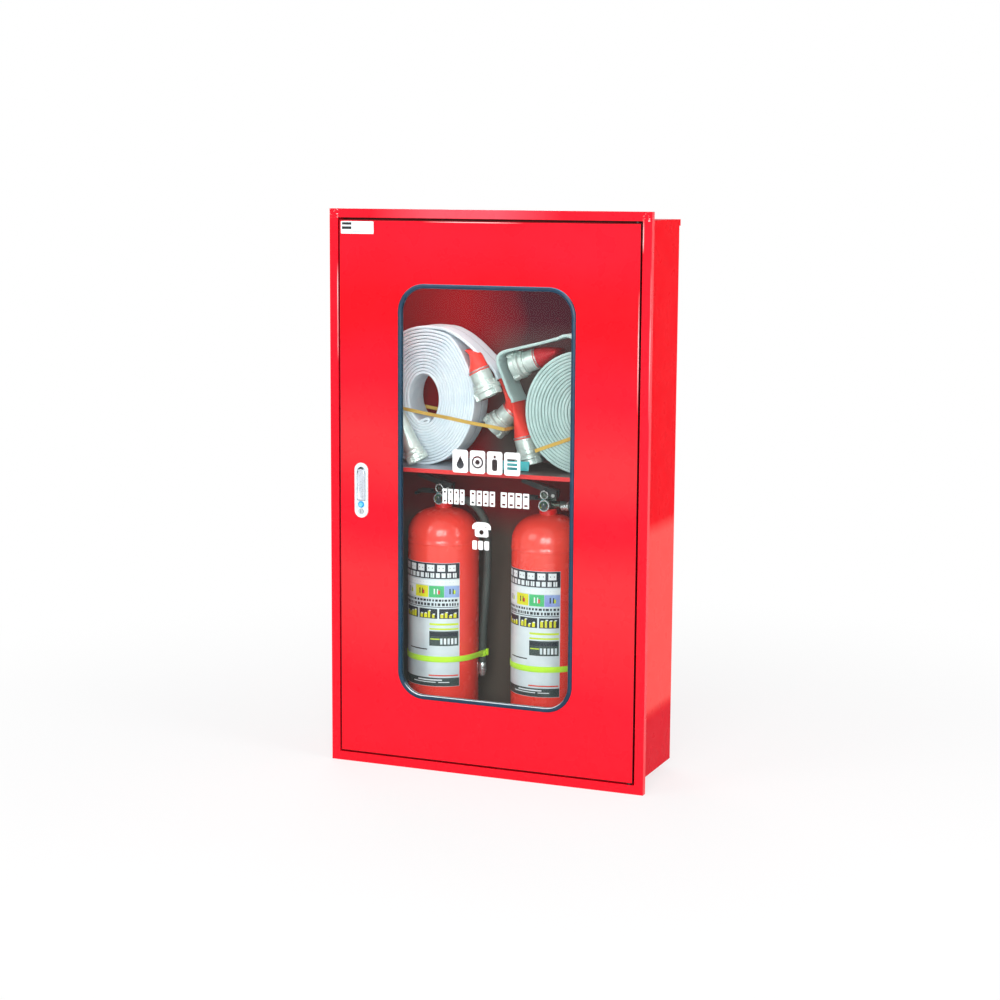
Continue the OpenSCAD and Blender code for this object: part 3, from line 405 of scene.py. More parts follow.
# painted shade: the pivot hardware is darkened so that it reads as the shade in the door's gap
gapShadeSteel = surface("gapShadeSteel", (54, 44, 44), (40, 34, 34), 60, (0.4, 0.5), 0.4, (800, 0.15, 0.05), 0.3)
castAlloy = surface("castAlloy", (214, 223, 218), (192, 204, 200), 45, (0.28, 0.42), 0.5, (700, 0.35, 0.12), 0.6)
polishedAlloy = surface("polishedAlloy", (214, 220, 220), (196, 204, 206), 80, (0.2, 0.32), 0.7, (900, 0.15, 0.05), 0.4)
valveChrome = surface("valveChrome", (112, 122, 112), (84, 94, 84), 60, (0.14, 0.26), 0.85, (700, 0.15, 0.05), 0.4)
handleWhite = surface("handleSatin", (222, 233, 234), (212, 225, 228), 60, (0.22, 0.34), 0.1, (600, 0.12, 0.05), 0.8,
                      0.2)
leverGrey = surface("leverSatin", (200, 208, 216), (186, 196, 206), 90, (0.24, 0.34), 0.3, (600, 0.12, 0.05), 0.5, 0.2)
plugGrey = surface("plugNickel", (196, 204, 206), (180, 190, 194), 90, (0.25, 0.35), 0.4, (600, 0.12, 0.05), 0.4)
buttonBlue = surface("buttonBlue", (0, 158, 222), (0, 148, 214), 120, (0.25, 0.32), grain=(500, 0.08, 0.05), coat=0.3)
# painted highlight: a paler copy of the button's blue for its dished middle
buttonHighlight = surface("buttonHighlight", (112, 206, 236), (96, 198, 232), 120, (0.25, 0.32), grain=(500, 0.08, 0.05),
                     coat=0.3)
pocketGrey = surface("pocketGrey", (92, 104, 112), (78, 90, 100), 60, (0.4, 0.5), grain=(800, 0.15, 0.05))
blackEnamel = surface("blackEnamel", (30, 32, 34), (20, 22, 24), 40, (0.28, 0.45), 0.0, (500, 0.25, 0.08), 0.5, 0.3)
blackPlastic = surface("blackPlastic", (34, 35, 37), (26, 27, 29), 40, (0.45, 0.6), 0.0, (700, 0.3, 0.08), 0.5)
bottleRed = surface("bottleEnamel", (248, 72, 58), (242, 60, 50), 7, (0.2, 0.3), grain=(200, 0.06, 0.1), coat=0.35,
                    coatRough=0.06)
neckRed = surface("neckPlastic", (226, 22, 24), (210, 18, 20), 40, (0.3, 0.42), grain=(500, 0.2, 0.05))
sleeveRed = surface("sleeveVinyl", (252, 72, 58), (242, 58, 48), 30, (0.4, 0.55), grain=(350, 0.35, 0.2))
# painted shade: a darker copy of the sleeve vinyl for the sleeve that lies in the shade
sleeveShaded = surface("sleeveVinylShaded", (190, 24, 36), (170, 20, 32), 30, (0.4, 0.55), grain=(350, 0.35, 0.2))
sealRubber = surface("sealRubber", (60, 30, 30), (44, 24, 26), 60, (0.5, 0.6), grain=(800, 0.2, 0.05))
tagPlastic = surface("tagPlastic", (70, 200, 205), (50, 184, 192), 60, grain=(500, 0.1, 0.05), coat=0.2)
plateWhite = surface("plateWhite", (240, 246, 246), (228, 236, 238), 50, grain=(900, 0.08, 0.03))


def printInk(name, colour, second, patch=60):
    return surface(name, colour, second, patch, (0.35, 0.45), grain=(900, 0.08, 0.03))


printBlack = printInk("printBlack", (8, 8, 18), (6, 6, 14), 90)
decalWhite = printInk("decalWhite", (250, 252, 252), (244, 248, 248), 90)


def paneFinish(name, tint, index):  # clear float glass: what is behind shows, with a thin mirror on top
    material, shader, node, join = newFinish(name)
    tree = material.node_tree
    tree.nodes.remove(shader)
    clear = node("BsdfTransparent", Color=tint)
    mirror = node("BsdfAnisotropic", Color=(0.9, 0.95, 0.95, 1), Roughness=0.03)
    fresnel = node("Fresnel", IOR=index).outputs[0]
    leaving = node("NewGeometry").outputs["Backfacing"]  # only the face where a ray goes in mirrors
    mixed = node("MixShader")
    join(times(fresnel, calc("SUBTRACT", 1.0, leaving)), mixed.inputs[0])
    join(clear.outputs[0], mixed.inputs[1])
    join(mirror.outputs[0], mixed.inputs[2])
    join(mixed.outputs[0], tree.nodes["Material Output"].inputs["Surface"])
    return material


paneGlass = paneFinish("paneGlass", (0.965, 0.985, 0.98, 1), 1.36)


def weaveFinish(name, colour, second, stripe=None, pitch=1.1, rough=0.75, sheen=0.25):
    # woven jacket on the UV map in metres: u runs round the flat section, v along it; stripe is one dark thread
    material, shader, node, join = newFinish(name)
    coordinates = node("TexCoord").outputs
    uv, place = coordinates["UV"], coordinates["Object"]
    perMetre = 0.314 / mm  # wave texture scale for a pitch of 1 mm
    weft = node("TexWave", Vector=uv, Scale=perMetre / pitch, bands_direction="Y").outputs["Fac"]
    warp = node("TexWave", Vector=uv, Scale=perMetre / (pitch * 0.8), bands_direction="X").outputs["Fac"]
    cloth = times(weft, warp)
    cloud = cloudOf(place, 22.0, 5.0, Roughness=0.6)
    base = blend(ramp(cloud, 0.35, 0.68), screen(*colour), screen(*second))
    base = blend(times(cloth, 0.12), base, (1, 1, 1, 1))
    if stripe:
        threadAt, threadHalf = 30 * mm, 0.5 * mm
        near = sizeOf(calc("SUBTRACT", split(uv)[0], threadAt))
        base = blend(below(near, threadHalf), base, screen(*stripe))
    join(base, shader.inputs["Base Color"])
    bump = node("Bump", Height=cloth, Strength=0.5, Distance=0.25 * mm)
    crease = node("Bump", Height=cloudOf(place, 60.0, 3.0), Strength=0.3, Distance=0.6 * mm)
    join(crease.outputs[0], bump.inputs["Normal"])
    join(bump.outputs[0], shader.inputs["Normal"])
    varied = node("MapRange", Value=cloud, **{"To Min": rough - 0.08, "To Max": rough + 0.08}).outputs["Result"]
    join(varied, shader.inputs["Roughness"])
    shader.inputs["Sheen Weight"].default_value = sheen
    shader.inputs["Specular IOR Level"].default_value = 0.3
    return material


leftJacket = weaveFinish("jacketBlueWhite", (232, 241, 248), (214, 227, 238), (40, 44, 60))
rightJacket = weaveFinish("jacketMint", (186, 211, 208), (167, 193, 190), (44, 58, 76))
strapWeb = weaveFinish("strapWeb", (200, 255, 34), (184, 240, 26), None, 0.9, 0.6, 0.1)
tieRubber = weaveFinish("tieBand", (216, 176, 70), (198, 152, 52), None, 0.7, 0.55, 0.1)
spoutRubber = weaveFinish("spoutRubber", (60, 70, 66), (46, 55, 52), None, 1.6, 0.5, 0.0)
print("finishes made")

# discharge hoses of the extinguishers
# axes: x and y of each bottle; route: the hose's points from the bottle's axis and the valve's foot
spout = {"axes": {"left": (-127, -90), "right": (77, -90)}, "valveZ": -26.8,
         "radius": 7, "crimped": 0.25, "tipLong": 26,
         "route": [(24, 0, 7), (34, 0, 7), (46, 1, 4), (57, 2, -2), (66, 3, -10), (73, 5, -20), (78, 7, -30),
                   (81, 9, -44), (82, 11, -60), (82, 13, -80), (81, 15, -104), (79, 18, -130), (76, 21, -160),
                   (72, 25, -195), (68, 28, -230), (65, 32.85, -256), (64, 33.85, -270), (64, 33.85, -288),
                   (64, 33.85, -300)]}
for side, (axisX, axisY) in spout["axes"].items():
    path = [Vector((axisX + x, axisY + y, spout["valveZ"] + z)) * mm for x, y, z in spout["route"]]
    path = smoothPath(path, 4)

    def hoseRadius(share):  # slight swell where the ferrule at the valve is crimped
        return (spout["radius"] + (spout["crimped"] if share < 0.04 else 0)) * mm

    hose = makePiece("dischargeHose_" + side, sweepRings(tubeRings(path, hoseRadius, 20)), [spoutRubber])
    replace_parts(hose, "spout_hose_" + side)
    ferrule = lathe([(7.05, 0), (8.0, 0.4), (8.0, 3), (7.5, 3.4), (7.5, 5), (8.0, 5.4), (8.0, 8), (7.5, 8.4),
                     (7.5, 10), (8.0, 10.4), (8.0, 14), (7.2, 14.6), (7.05, 14.6), (7.05, 0)], 40)
    aim = (path[0] - path[2]).normalized().to_track_quat("Z", "Y").to_matrix().to_4x4()
    put(ferrule, Matrix.Translation(path[6]) @ aim)
    makePiece("dischargeFerrule_" + side, ferrule, [polishedAlloy])
    nozzleTip = lathe([(3, 0), (4.1, 0), (4.5, 0.5), (5.9, 4), (6.1, 5), (6.1, 7.2), (6.5, 7.6), (6.5, 10), (7, 12),
                       (7, 15), (6.6, 15.5), (6.6, 17), (7, 17.5), (7, 25.4), (6.6, 26), (0, 26), (0, 20), (2.6, 20),
                       (3, 19.4), (3, 0)], 40)
    endX, endY, endZ = spout["route"][-1]
    place = shift(axisX + endX, axisY + endY, spout["valveZ"] + endZ - spout["tipLong"])
    put(nozzleTip, place)
    tip = makePiece("dischargeTip_" + side, nozzleTip, [polishedAlloy])
    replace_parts(tip, "spout_tip_" + side)

# rolled hoses
# centre, tail: x and z; core, full: half width and half height of the first and the last turn; mid: y
roll = {"width": 65, "soften": 1.3, "turns": 14, "stepsPerTurn": 60, "lift": 97,
        "left": {"centre": (-155, 161.96), "mid": -88, "core": (32, 47), "full": (101.9, 119.9), "rise": 3.6, "side": 1,
                 "thick": 4.8, "bulge": ((35, 0), (45, 1.5), (50, 3.5), (62, 7), (75, 3), (97, 0)), "fold": 6.2,
                 "tail": [(-128, 289.2), (-100, 282.2), (-70, 264.2), (-40, 238.2), (-24, 223.2), (-16, 214.2),
                          (-12.75, 207.53), (-10, 202.2)]},
        "right": {"centre": (155, 151.93), "mid": -97.5, "core": (24, 34), "full": (110, 110), "rise": 0, "side": -1,
                  "thick": 5.0, "bulge": (), "fold": 6.0,
                  "tail": [(128, 283.2), (104, 278.2), (80, 271.2), (52, 264.2), (28, 258.2), (8, 253.2), (-2, 248.2),
                           (-7, 240.2), (-6, 230.2), (-3, 222.2), (3, 208.2), (10, 191.2), (16, 177.2),
                           (21.15, 169.14), (22, 163.2)]}}


def hoseSection(centre, normal, thick, wide, push):  # flat hose: two walls pressed together, with softly folded edges
    half, soft = thick / 2, roll["soften"]
    outY, outH = wide / 2 - soft, half - soft
    ring = []
    for corner, y0, h0 in ((0, outY, outH), (90, -outY, outH), (180, -outY, -outH), (270, outY, -outH)):
        for k in range(4):
            a = math.radians(corner + 30 * k)
            ring.append((y0 + soft * math.cos(a), h0 + soft * math.sin(a)))
        if corner in (0, 180):  # the broad faces dip a little towards the middle
            sign = 1 if corner == 0 else -1
            for k in range(1, 8):
                ring.append((sign * outY * (1 - k / 4), sign * half * (1 - 0.05 * math.sin(math.pi * k / 8))))
        else:  # the folded edge stands out a hair in its middle
            ring.append(((-1 if corner == 90 else 1) * (wide / 2 + 0.12), 0))
    return [Vector((centre[0] + normal[0] * h, push + y, centre[1] + normal[1] * h)) * mm for y, h in ring]


def bulgeAt(r, degrees):  # how far the outermost turn stands out under the end that leads off
    degrees %= 360
    for (a, low), (b, high) in zip(r["bulge"], r["bulge"][1:]):
        if a <= degrees <= b:
            return low + (high - low) * (degrees - a) / (b - a)
    return 0


def rollPath(r):
    (cx, cz), (ax, az), (bx, bz) = r["centre"], r["core"], r["full"]

    def spot(s, a):
        rise = r["rise"] * max(s, 0)  # the outer turns ride up, because the shelf holds their undersides
        out = bulgeAt(r, math.degrees(a)) * max(s, 0) if s < 0.99 else 0
        wide, tall = ax + (bx - ax) * s + out, az + (bz + rise - az) * s + out
        return Vector((cx + r["side"] * wide * math.cos(a), cz + rise + tall * math.sin(a)))

    steps = roll["turns"] * roll["stepsPerTurn"]
    start = -190 / 360 / roll["turns"]  # the inner end runs on half a turn and folds back on itself
    inner = [spot(s, math.radians(roll["lift"] - 360 * roll["turns"] * (s - 1)))
             for s in (start * (1 - k / 32) for k in range(32))]
    heading = (inner[0] - inner[1]).normalized()
    inward = Vector((-heading[1], heading[0])) * r["side"]
    pivot = inner[0] + inward * r["fold"] / 2
    hook = [pivot + r["fold"] / 2 * (-inward * math.cos(a) + heading * math.sin(a))
            for a in (math.pi * k / 10 for k in range(1, 11))]
    hook += [hook[-1] - heading * d for d in (5, 10, 15, 20)]
    wound = [spot(k / steps, math.radians(roll["lift"] - 360 * roll["turns"] * (k / steps - 1)))
             for k in range(steps + 1)]
    tail = smoothPath([p.to_3d() for p in wound[-12::5]] + [(x, z, 0) for x, z in r["tail"]], 5)
    return hook[::-1] + inner + wound[:-12] + [p.xy for p in tail]


for side in ("left", "right"):
    r = roll[side]
    path = rollPath(r)
    rings, run = [], 0
    for i, p in enumerate(path):
        a, b = path[max(i - 1, 0)], path[min(i + 1, len(path) - 1)]
        d = (b - a).normalized()
        run += (p - path[max(i - 1, 0)]).length
        wander = 0.7 * noise.noise(Vector((run / 190, r["mid"], 3)))
        wander += 0.35 * noise.noise(Vector((run / 35, 9, r["mid"])))
        wide = roll["width"] - 0.8 - 0.5 * abs(noise.noise(Vector((run / 60, 2, 5))))
        leads = math.degrees(math.atan2(p[1] - r["centre"][1], (p[0] - r["centre"][0]) * r["side"]))
        thick = r["thick"] + bulgeAt(r, leads) / roll["turns"]
        rings.append(hoseSection(p, Vector((-d[1], d[0])) * r["side"], thick, wide, r["mid"] + wander))
    jacket = leftJacket if side == "left" else rightJacket
    piece = makePiece("hoseRoll_" + side, sweepRings(rings), [jacket], sharp=80)
    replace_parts(piece, "hose_roll_" + side)
print("hoses rolled")

# sleeves and couplings
# start, at: x and height over the shelf where the sleeve begins and where the coupling sits; depth: y at both
joint = {"shank": 19, "slack": 0.35, "shelfZ": 42.2, "sleeveWall": 0.7, "hoseThick": 4.4,
         "left_upper": {"start": (-72, 209), "at": (-36, 174), "lean": 26.5, "run": 29, "depth": (-98, -140),
                        "half": 24, "swell": 0.9},
         "left_lower": {"start": (-10, 160), "at": (-1, 101), "lean": -45, "run": 20, "depth": (-88, -76),
                        "half": 26, "swell": 1},
         "right_upper": {"start": (100, 213), "at": (56, 198), "lean": -69, "run": 21, "depth": (-97.5, -98),
                         "half": 26, "swell": 0.6},
         "right_lower": {"start": (22, 121), "at": (34, 55), "lean": 15, "run": 21, "depth": (-97.5, -98),
                         "half": 30, "swell": 0.9}}


def leanTo(at, lean, y):
    return shift(at[0], y, at[1] + joint["shelfZ"]) @ turn(180 - lean, "Y")


def sleeveMesh(j, seed):
    down = Vector((math.sin(math.radians(j["lean"])), -math.cos(math.radians(j["lean"]))))
    start, end = Vector(j["start"]), Vector(j["at"])
    bend, mouth = end - j["run"] * down, joint["shank"] + joint["slack"]
    rings, sides, levels = [], 40, 34
    for i in range(levels + 1):
        k = i / levels
        c = start * (1 - k) ** 2 + bend * 2 * k * (1 - k) + end * k * k
        d = ((bend - start) * (1 - k) + (end - bend) * k).normalized()
        ease, full = k * k * (3 - 2 * k), k ** j["swell"]
        thin = (joint["hoseThick"] / 2 + joint["sleeveWall"]) * (1 - full) + mouth * full
        wide = j["half"] * (1 - ease) + mouth * ease
        y = j["depth"][0] + (j["depth"][1] - j["depth"][0]) * ease
        hem = 0.3 if i in (1, 2, levels - 2, levels - 1) else 0.0
        ring = []
        for s in range(sides):
            a = 2 * math.pi * s / sides
            crumple = noise.noise(Vector((3 * math.cos(a), 3 * math.sin(a), 3.2 * k + seed)))
            crease = 0.55 * crumple * math.sin(math.pi * min(1, k * 1.05))
            t, w = (thin + hem + crease) * math.cos(a), (wide + hem + crease) * math.sin(a)
            ring.append(Vector((c[0] + d[1] * t, y + w, c[1] - d[0] * t + joint["shelfZ"])) * mm)
        rings.append(ring)
    return sweepRings(rings)


def couplingMesh():
    bm = lathe([(0, 0), (18.2, 0), (19, 0.7), (19, 3), (18.6, 3.4), (18.6, 4.4), (19, 4.8), (19, 15.6), (18.5, 16.1),
                (18.5, 17.6), (19, 18.1), (19, 20.4), (19.4, 20.8), (21.4, 21), (22, 21.6), (22, 27.6), (22.5, 28.3),
                (24.3, 29.6), (25, 30.6), (25, 31.6), (24.5, 32.1), (24.5, 33.6), (25, 34.1), (25, 36.4), (24.4, 37.1),
                (23.6, 37.6), (23, 38.4), (23, 46.8), (22.2, 47.8), (21.6, 48), (17.6, 48), (16.6, 47.6), (16, 46.6),
                (16, 41.5), (15.2, 40.6), (15.2, 34.6), (0, 34.6)], 72)
    for k in range(3):  # three claws with a hook each, as bayonet couplings have
        claw = bmesh.new()
        addPart(claw, block((7, 10, 10), 0.9), shift(23.5, 0, 42.8))
        addPart(claw, block((3.2, 10, 5), 0.7), shift(25.3, 1.5, 36.5))
        addPart(claw, block((4.6, 4, 4), 0.6), shift(22.6, 4.5, 46.0))
        addPart(bm, claw, turn(120 * k + 90, "Z"))
    for k in range(12):  # finger ribs on the ring
        addPart(bm, block((1.0, 2.0, 5), 0.35), turn(30 * k + 15, "Z") @ shift(22.3, 0, 24.6))
    return bm


for number, name in enumerate(("left_upper", "left_lower", "right_upper", "right_lower")):
    j = joint[name]
    # the right upper sleeve takes the painted-shade copy of the vinyl
    vinyl = sleeveShaded if name == "right_upper" else sleeveRed
    makePiece("hoseSleeve_" + name, sleeveMesh(j, number * 7.3), [vinyl], sharp=70)
    place = leanTo(j["at"], j["lean"], j["depth"][1])
    bm = couplingMesh()
    put(bm, place)
    piece = makePiece("hoseCoupling_" + name, bm, [castAlloy], sharp=28)
    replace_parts(piece, "coupling_" + name)
    seal = lathe([(16.2, 44.5), (17.0, 44.0), (19.6, 47.9), (19.4, 48.3), (17.2, 48.3), (16.3, 47.4), (16.2, 44.5)],
                 60)
    put(seal, place)
    makePiece("couplingSeal_" + name, seal, [sealRubber])
    wire = bmesh.new()
    for k in range(2):  # wire bands that bind the sleeve to the shank
        low, loop = (-2.2 - 1.5 * k) * mm, []
        for a in (2 * math.pi * s / 48 for s in range(48)):
            middle = Vector((math.cos(a), math.sin(a), 0)) * 19.55 * mm
            loop.append([middle * (1 + 0.03 * math.cos(b)) + Vector((0, 0, low + 0.6 * mm * math.sin(b)))
                         for b in (2 * math.pi * c / 8 for c in range(8))])
        addPart(wire, sweepRings(loop, loop=True), place)
    makePiece("bindingWire_" + name, wire, [zincPlate])
for side in ("left", "right"):
    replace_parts(bpy.data.objects["hoseSleeve_" + side + "_upper"], "hose_sleeves_" + side)
print("sleeves and couplings made")

# branch nozzle
nozzle = {"at": (-150, -149, joint["shelfZ"] + 9.38), "lean": -27, "claws": (-15, 105, -105)}
bm = lathe([(0, 12), (13.6, 12), (14, 11.4), (14, 0.6), (14.6, 0), (18.4, 0), (19, 0.6), (19, 4.6), (19.4, 5.2),
            (20, 6), (20, 8.4), (19.4, 8.9), (19.4, 10.6), (20, 11.1), (20, 13.6), (19.4, 14.6), (18.4, 15.6),
            (18, 16.4), (18, 21.6), (17.4, 22.6), (16.4, 23.6), (16, 24.4), (16, 34), (15.2, 44), (12.6, 118),
            (10.2, 188), (10, 189.4), (11.2, 190.4), (12, 191.6), (12, 196), (11.4, 196.6), (11.4, 199), (12, 199.6),
            (12, 222.6), (11.6, 224.4), (10.4, 229.4), (9.4, 230), (6.8, 230), (6, 229), (6, 201), (0, 200)], 64)
for angle in nozzle["claws"]:
    claw = bmesh.new()
    addPart(claw, block((6.4, 9, 9), 0.8), shift(19.4, 0, 5.2))
    addPart(claw, block((3.4, 4, 4), 0.6), shift(20.2, 4.2, 2.4))
    addPart(bm, claw, turn(angle, "Z"))
put(bm, shift(*nozzle["at"]) @ turn(nozzle["lean"], "Y"))
piece = makePiece("branchNozzle", bm, [castAlloy], sharp=28)
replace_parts(piece, "branch_nozzle")


# ties round the rolls and straps round the bottles
def roundedLoop(corners, radius):
    pts, out = [Vector(c) for c in corners], []
    for i, p in enumerate(pts):
        a, b = pts[i - 1] - p, pts[(i + 1) % len(pts)] - p
        r = min(radius, 0.45 * a.length, 0.45 * b.length)
        a, b = p + a.normalized() * r, p + b.normalized() * r
        out += [a * (1 - k) ** 2 + p * 2 * k * (1 - k) + b * k * k for k in (0, 0.25, 0.5, 0.75, 1)]
    return out


# corners of a band's section: the share of its thickness outward and of half its height up
bandSection = ((0, -1), (0, -0.5), (0, 0), (0, 0.5), (0, 1), (0.5, 1.06), (1, 1), (1.08, 0.5), (1.1, 0), (1.08, -0.5),
               (1, -1), (0.5, -1.06))


def bandRings(loop, thick, high, place, wave=0.0, seed=0.0):  # a flat band on edge round a closed outline, in mm
    rings = []
    for i, p in enumerate(loop):
        d = (loop[(i + 1) % len(loop)] - loop[i - 1]).normalized()
        out = Vector((d[1], -d[0]))
        lift = wave * noise.noise(Vector((p[0] / 60, p[1] / 60, seed)))
        ring = []
        for o, h in bandSection:
            q = p + out * thick * o
            ring.append(place @ (Vector((q[0], q[1], h * high / 2 + lift)) * mm))
        rings.append(ring)
    return rings


def densify(loop, step):
    out = []
    for a, b in zip(loop, loop[1:] + loop[:1]):
        count = max(1, int((b - a).length / step))
        out += [a + (b - a) * k / count for k in range(count)]
    return out


tie = {"thick": 0.9, "high": 6,
       "left": {"at": (-155, 0, 136.2), "tilt": 8, "loop": [(-106.5, -120.8), (160, -120.8), (163, -100.8), (163, -59),
                                                           (158, -47), (110, -47), (-106.5, -55.2)]},
       "right": {"at": (155 + 36 * math.sin(math.radians(21)), 0, 151.93 - 36 * math.cos(math.radians(21))),
                 "tilt": -21, "loop": [(-108.1, -130.3), (108.1, -130.3), (108.1, -64.7), (-108.1, -64.7)]}}
for side in ("left", "right"):
    t = tie[side]
    outline = densify(roundedLoop(t["loop"], 1.6), 8)
    rings = bandRings(outline, tie["thick"], tie["high"], shift(*t["at"]) @ turn(t["tilt"], "Y"), 0.8, t["tilt"])
    piece = makePiece("rollTie_" + side, sweepRings(rings, loop=True), [tieRubber], sharp=60)
    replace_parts(piece, "roll_tie_" + side)

strap = {"bottle": 65.15, "hose": 7.35, "at": (64, 33.85), "z": -26.8 - 280, "high": 10, "thick": 1.1}
reach = math.hypot(*strap["at"])
facing, spread = math.atan2(strap["at"][1], strap["at"][0]), math.acos((strap["bottle"] - strap["hose"]) / reach)
belt = [Vector((math.cos(a), math.sin(a))) * strap["bottle"] for a in
        (facing + spread + (2 * math.pi - 2 * spread) * k / 90 for k in range(91))]
belt += [Vector(strap["at"]) + Vector((math.cos(a), math.sin(a))) * strap["hose"] for a in
         (facing - spread + 2 * spread * k / 16 for k in range(17))]
for side, (axisX, axisY) in spout["axes"].items():
    place = shift(axisX, axisY, strap["z"])
    bm = sweepRings(bandRings(belt, strap["thick"], strap["high"], place, 0.5, axisX), loop=True)
    flap = ((71.8, 29.5, 0), (72.6, 27.2, 0), (72.2, 24.6, 0), (70, 22, 0), (66.6, 20.4, 0), (63, 19.6, 0),
            (59.5, 19.2, 0))
    strip = []
    for k, p in enumerate(smoothPath(flap, 4)):
        widen = 5.2 - 0.05 * k
        drop = -0.18 * k
        strip.append([place @ (Vector((p[0] + o * 1.0, p[1] - o * 0.4, h * widen + drop)) * mm) for o, h in
                      ((0.2, -1), (0.2, 0), (0.2, 1), (1, 1), (1.1, 0), (1, -1))])
    addPart(bm, sweepRings(strip))
    addPart(bm, block((4.4, 7.2, 12.4), 0.9), place @ shift(73.6, 33.4, 0))
    piece = makePiece("hoseStrap_" + side, bm, [strapWeb], sharp=60)
    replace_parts(piece, "strap_" + side)
print("nozzle, ties and straps made")

# bottles, neck rings, gauges and labels
bottle = {"r": 65, "floor": -482.8, "height": 456, "dome": 47, "neck": 14}
bodyTop = bottle["height"] - 11 - bottle["dome"]
outline = [(0, 7.4), (44, 7.4), (49, 6.6), (52, 4.5), (54, 1.0), (55.4, 0.1), (61, 0), (62.6, 0.6), (64, 2.4),
           (64.8, 5), (65, 8)]
outline += [(65, z) for z in (60, 140, 220, 300, bodyTop - 17)]
seam = ((65, 14.6), (65.7, 13.8), (65.8, 12.6), (65.7, 11.4), (65, 10.6), (65, 4))
outline += [(r, bodyTop - down) for r, down in seam]
outline += [(bottle["neck"] + (65 - bottle["neck"]) * math.cos(a), bodyTop + bottle["dome"] * math.sin(a))
            for a in (math.radians(d) for d in range(0, 86, 5))]
domeTop = bodyTop + bottle["dome"]
outline += [(14.4, domeTop + 0.4), (14, domeTop + 1.4), (14, 454), (13.4, 455.6), (0, 455.6)]

label = {"turnEnd": 50.7, "turnStart": -112, "top": -130, "tall": 227, "turned": {"left": 0, "right": -8.7}}
foil = surface("labelFoil", (224, 233, 237), (202, 214, 220), 14, (0.3, 0.42), 0.15, (900, 0.1, 0.03))
inks = [foil] + [printInk(*ink) for ink in (
    ("inkNavy", (24, 34, 48), (20, 28, 40)), ("inkWhite", (236, 240, 242), (226, 232, 236)),
    ("inkYellow", (228, 226, 40), (216, 212, 30)), ("inkGreen", (74, 190, 120), (62, 178, 108)),
    ("inkBlue", (150, 176, 222), (128, 134, 214), 30), ("inkLime", (206, 232, 52), (196, 222, 44)),
    ("inkSlate", (58, 74, 72), (44, 58, 58)), ("inkRed", (226, 70, 50), (214, 60, 44)))]
foilInk, navy, white, yellow, green, blue, lime, slate, red = range(9)


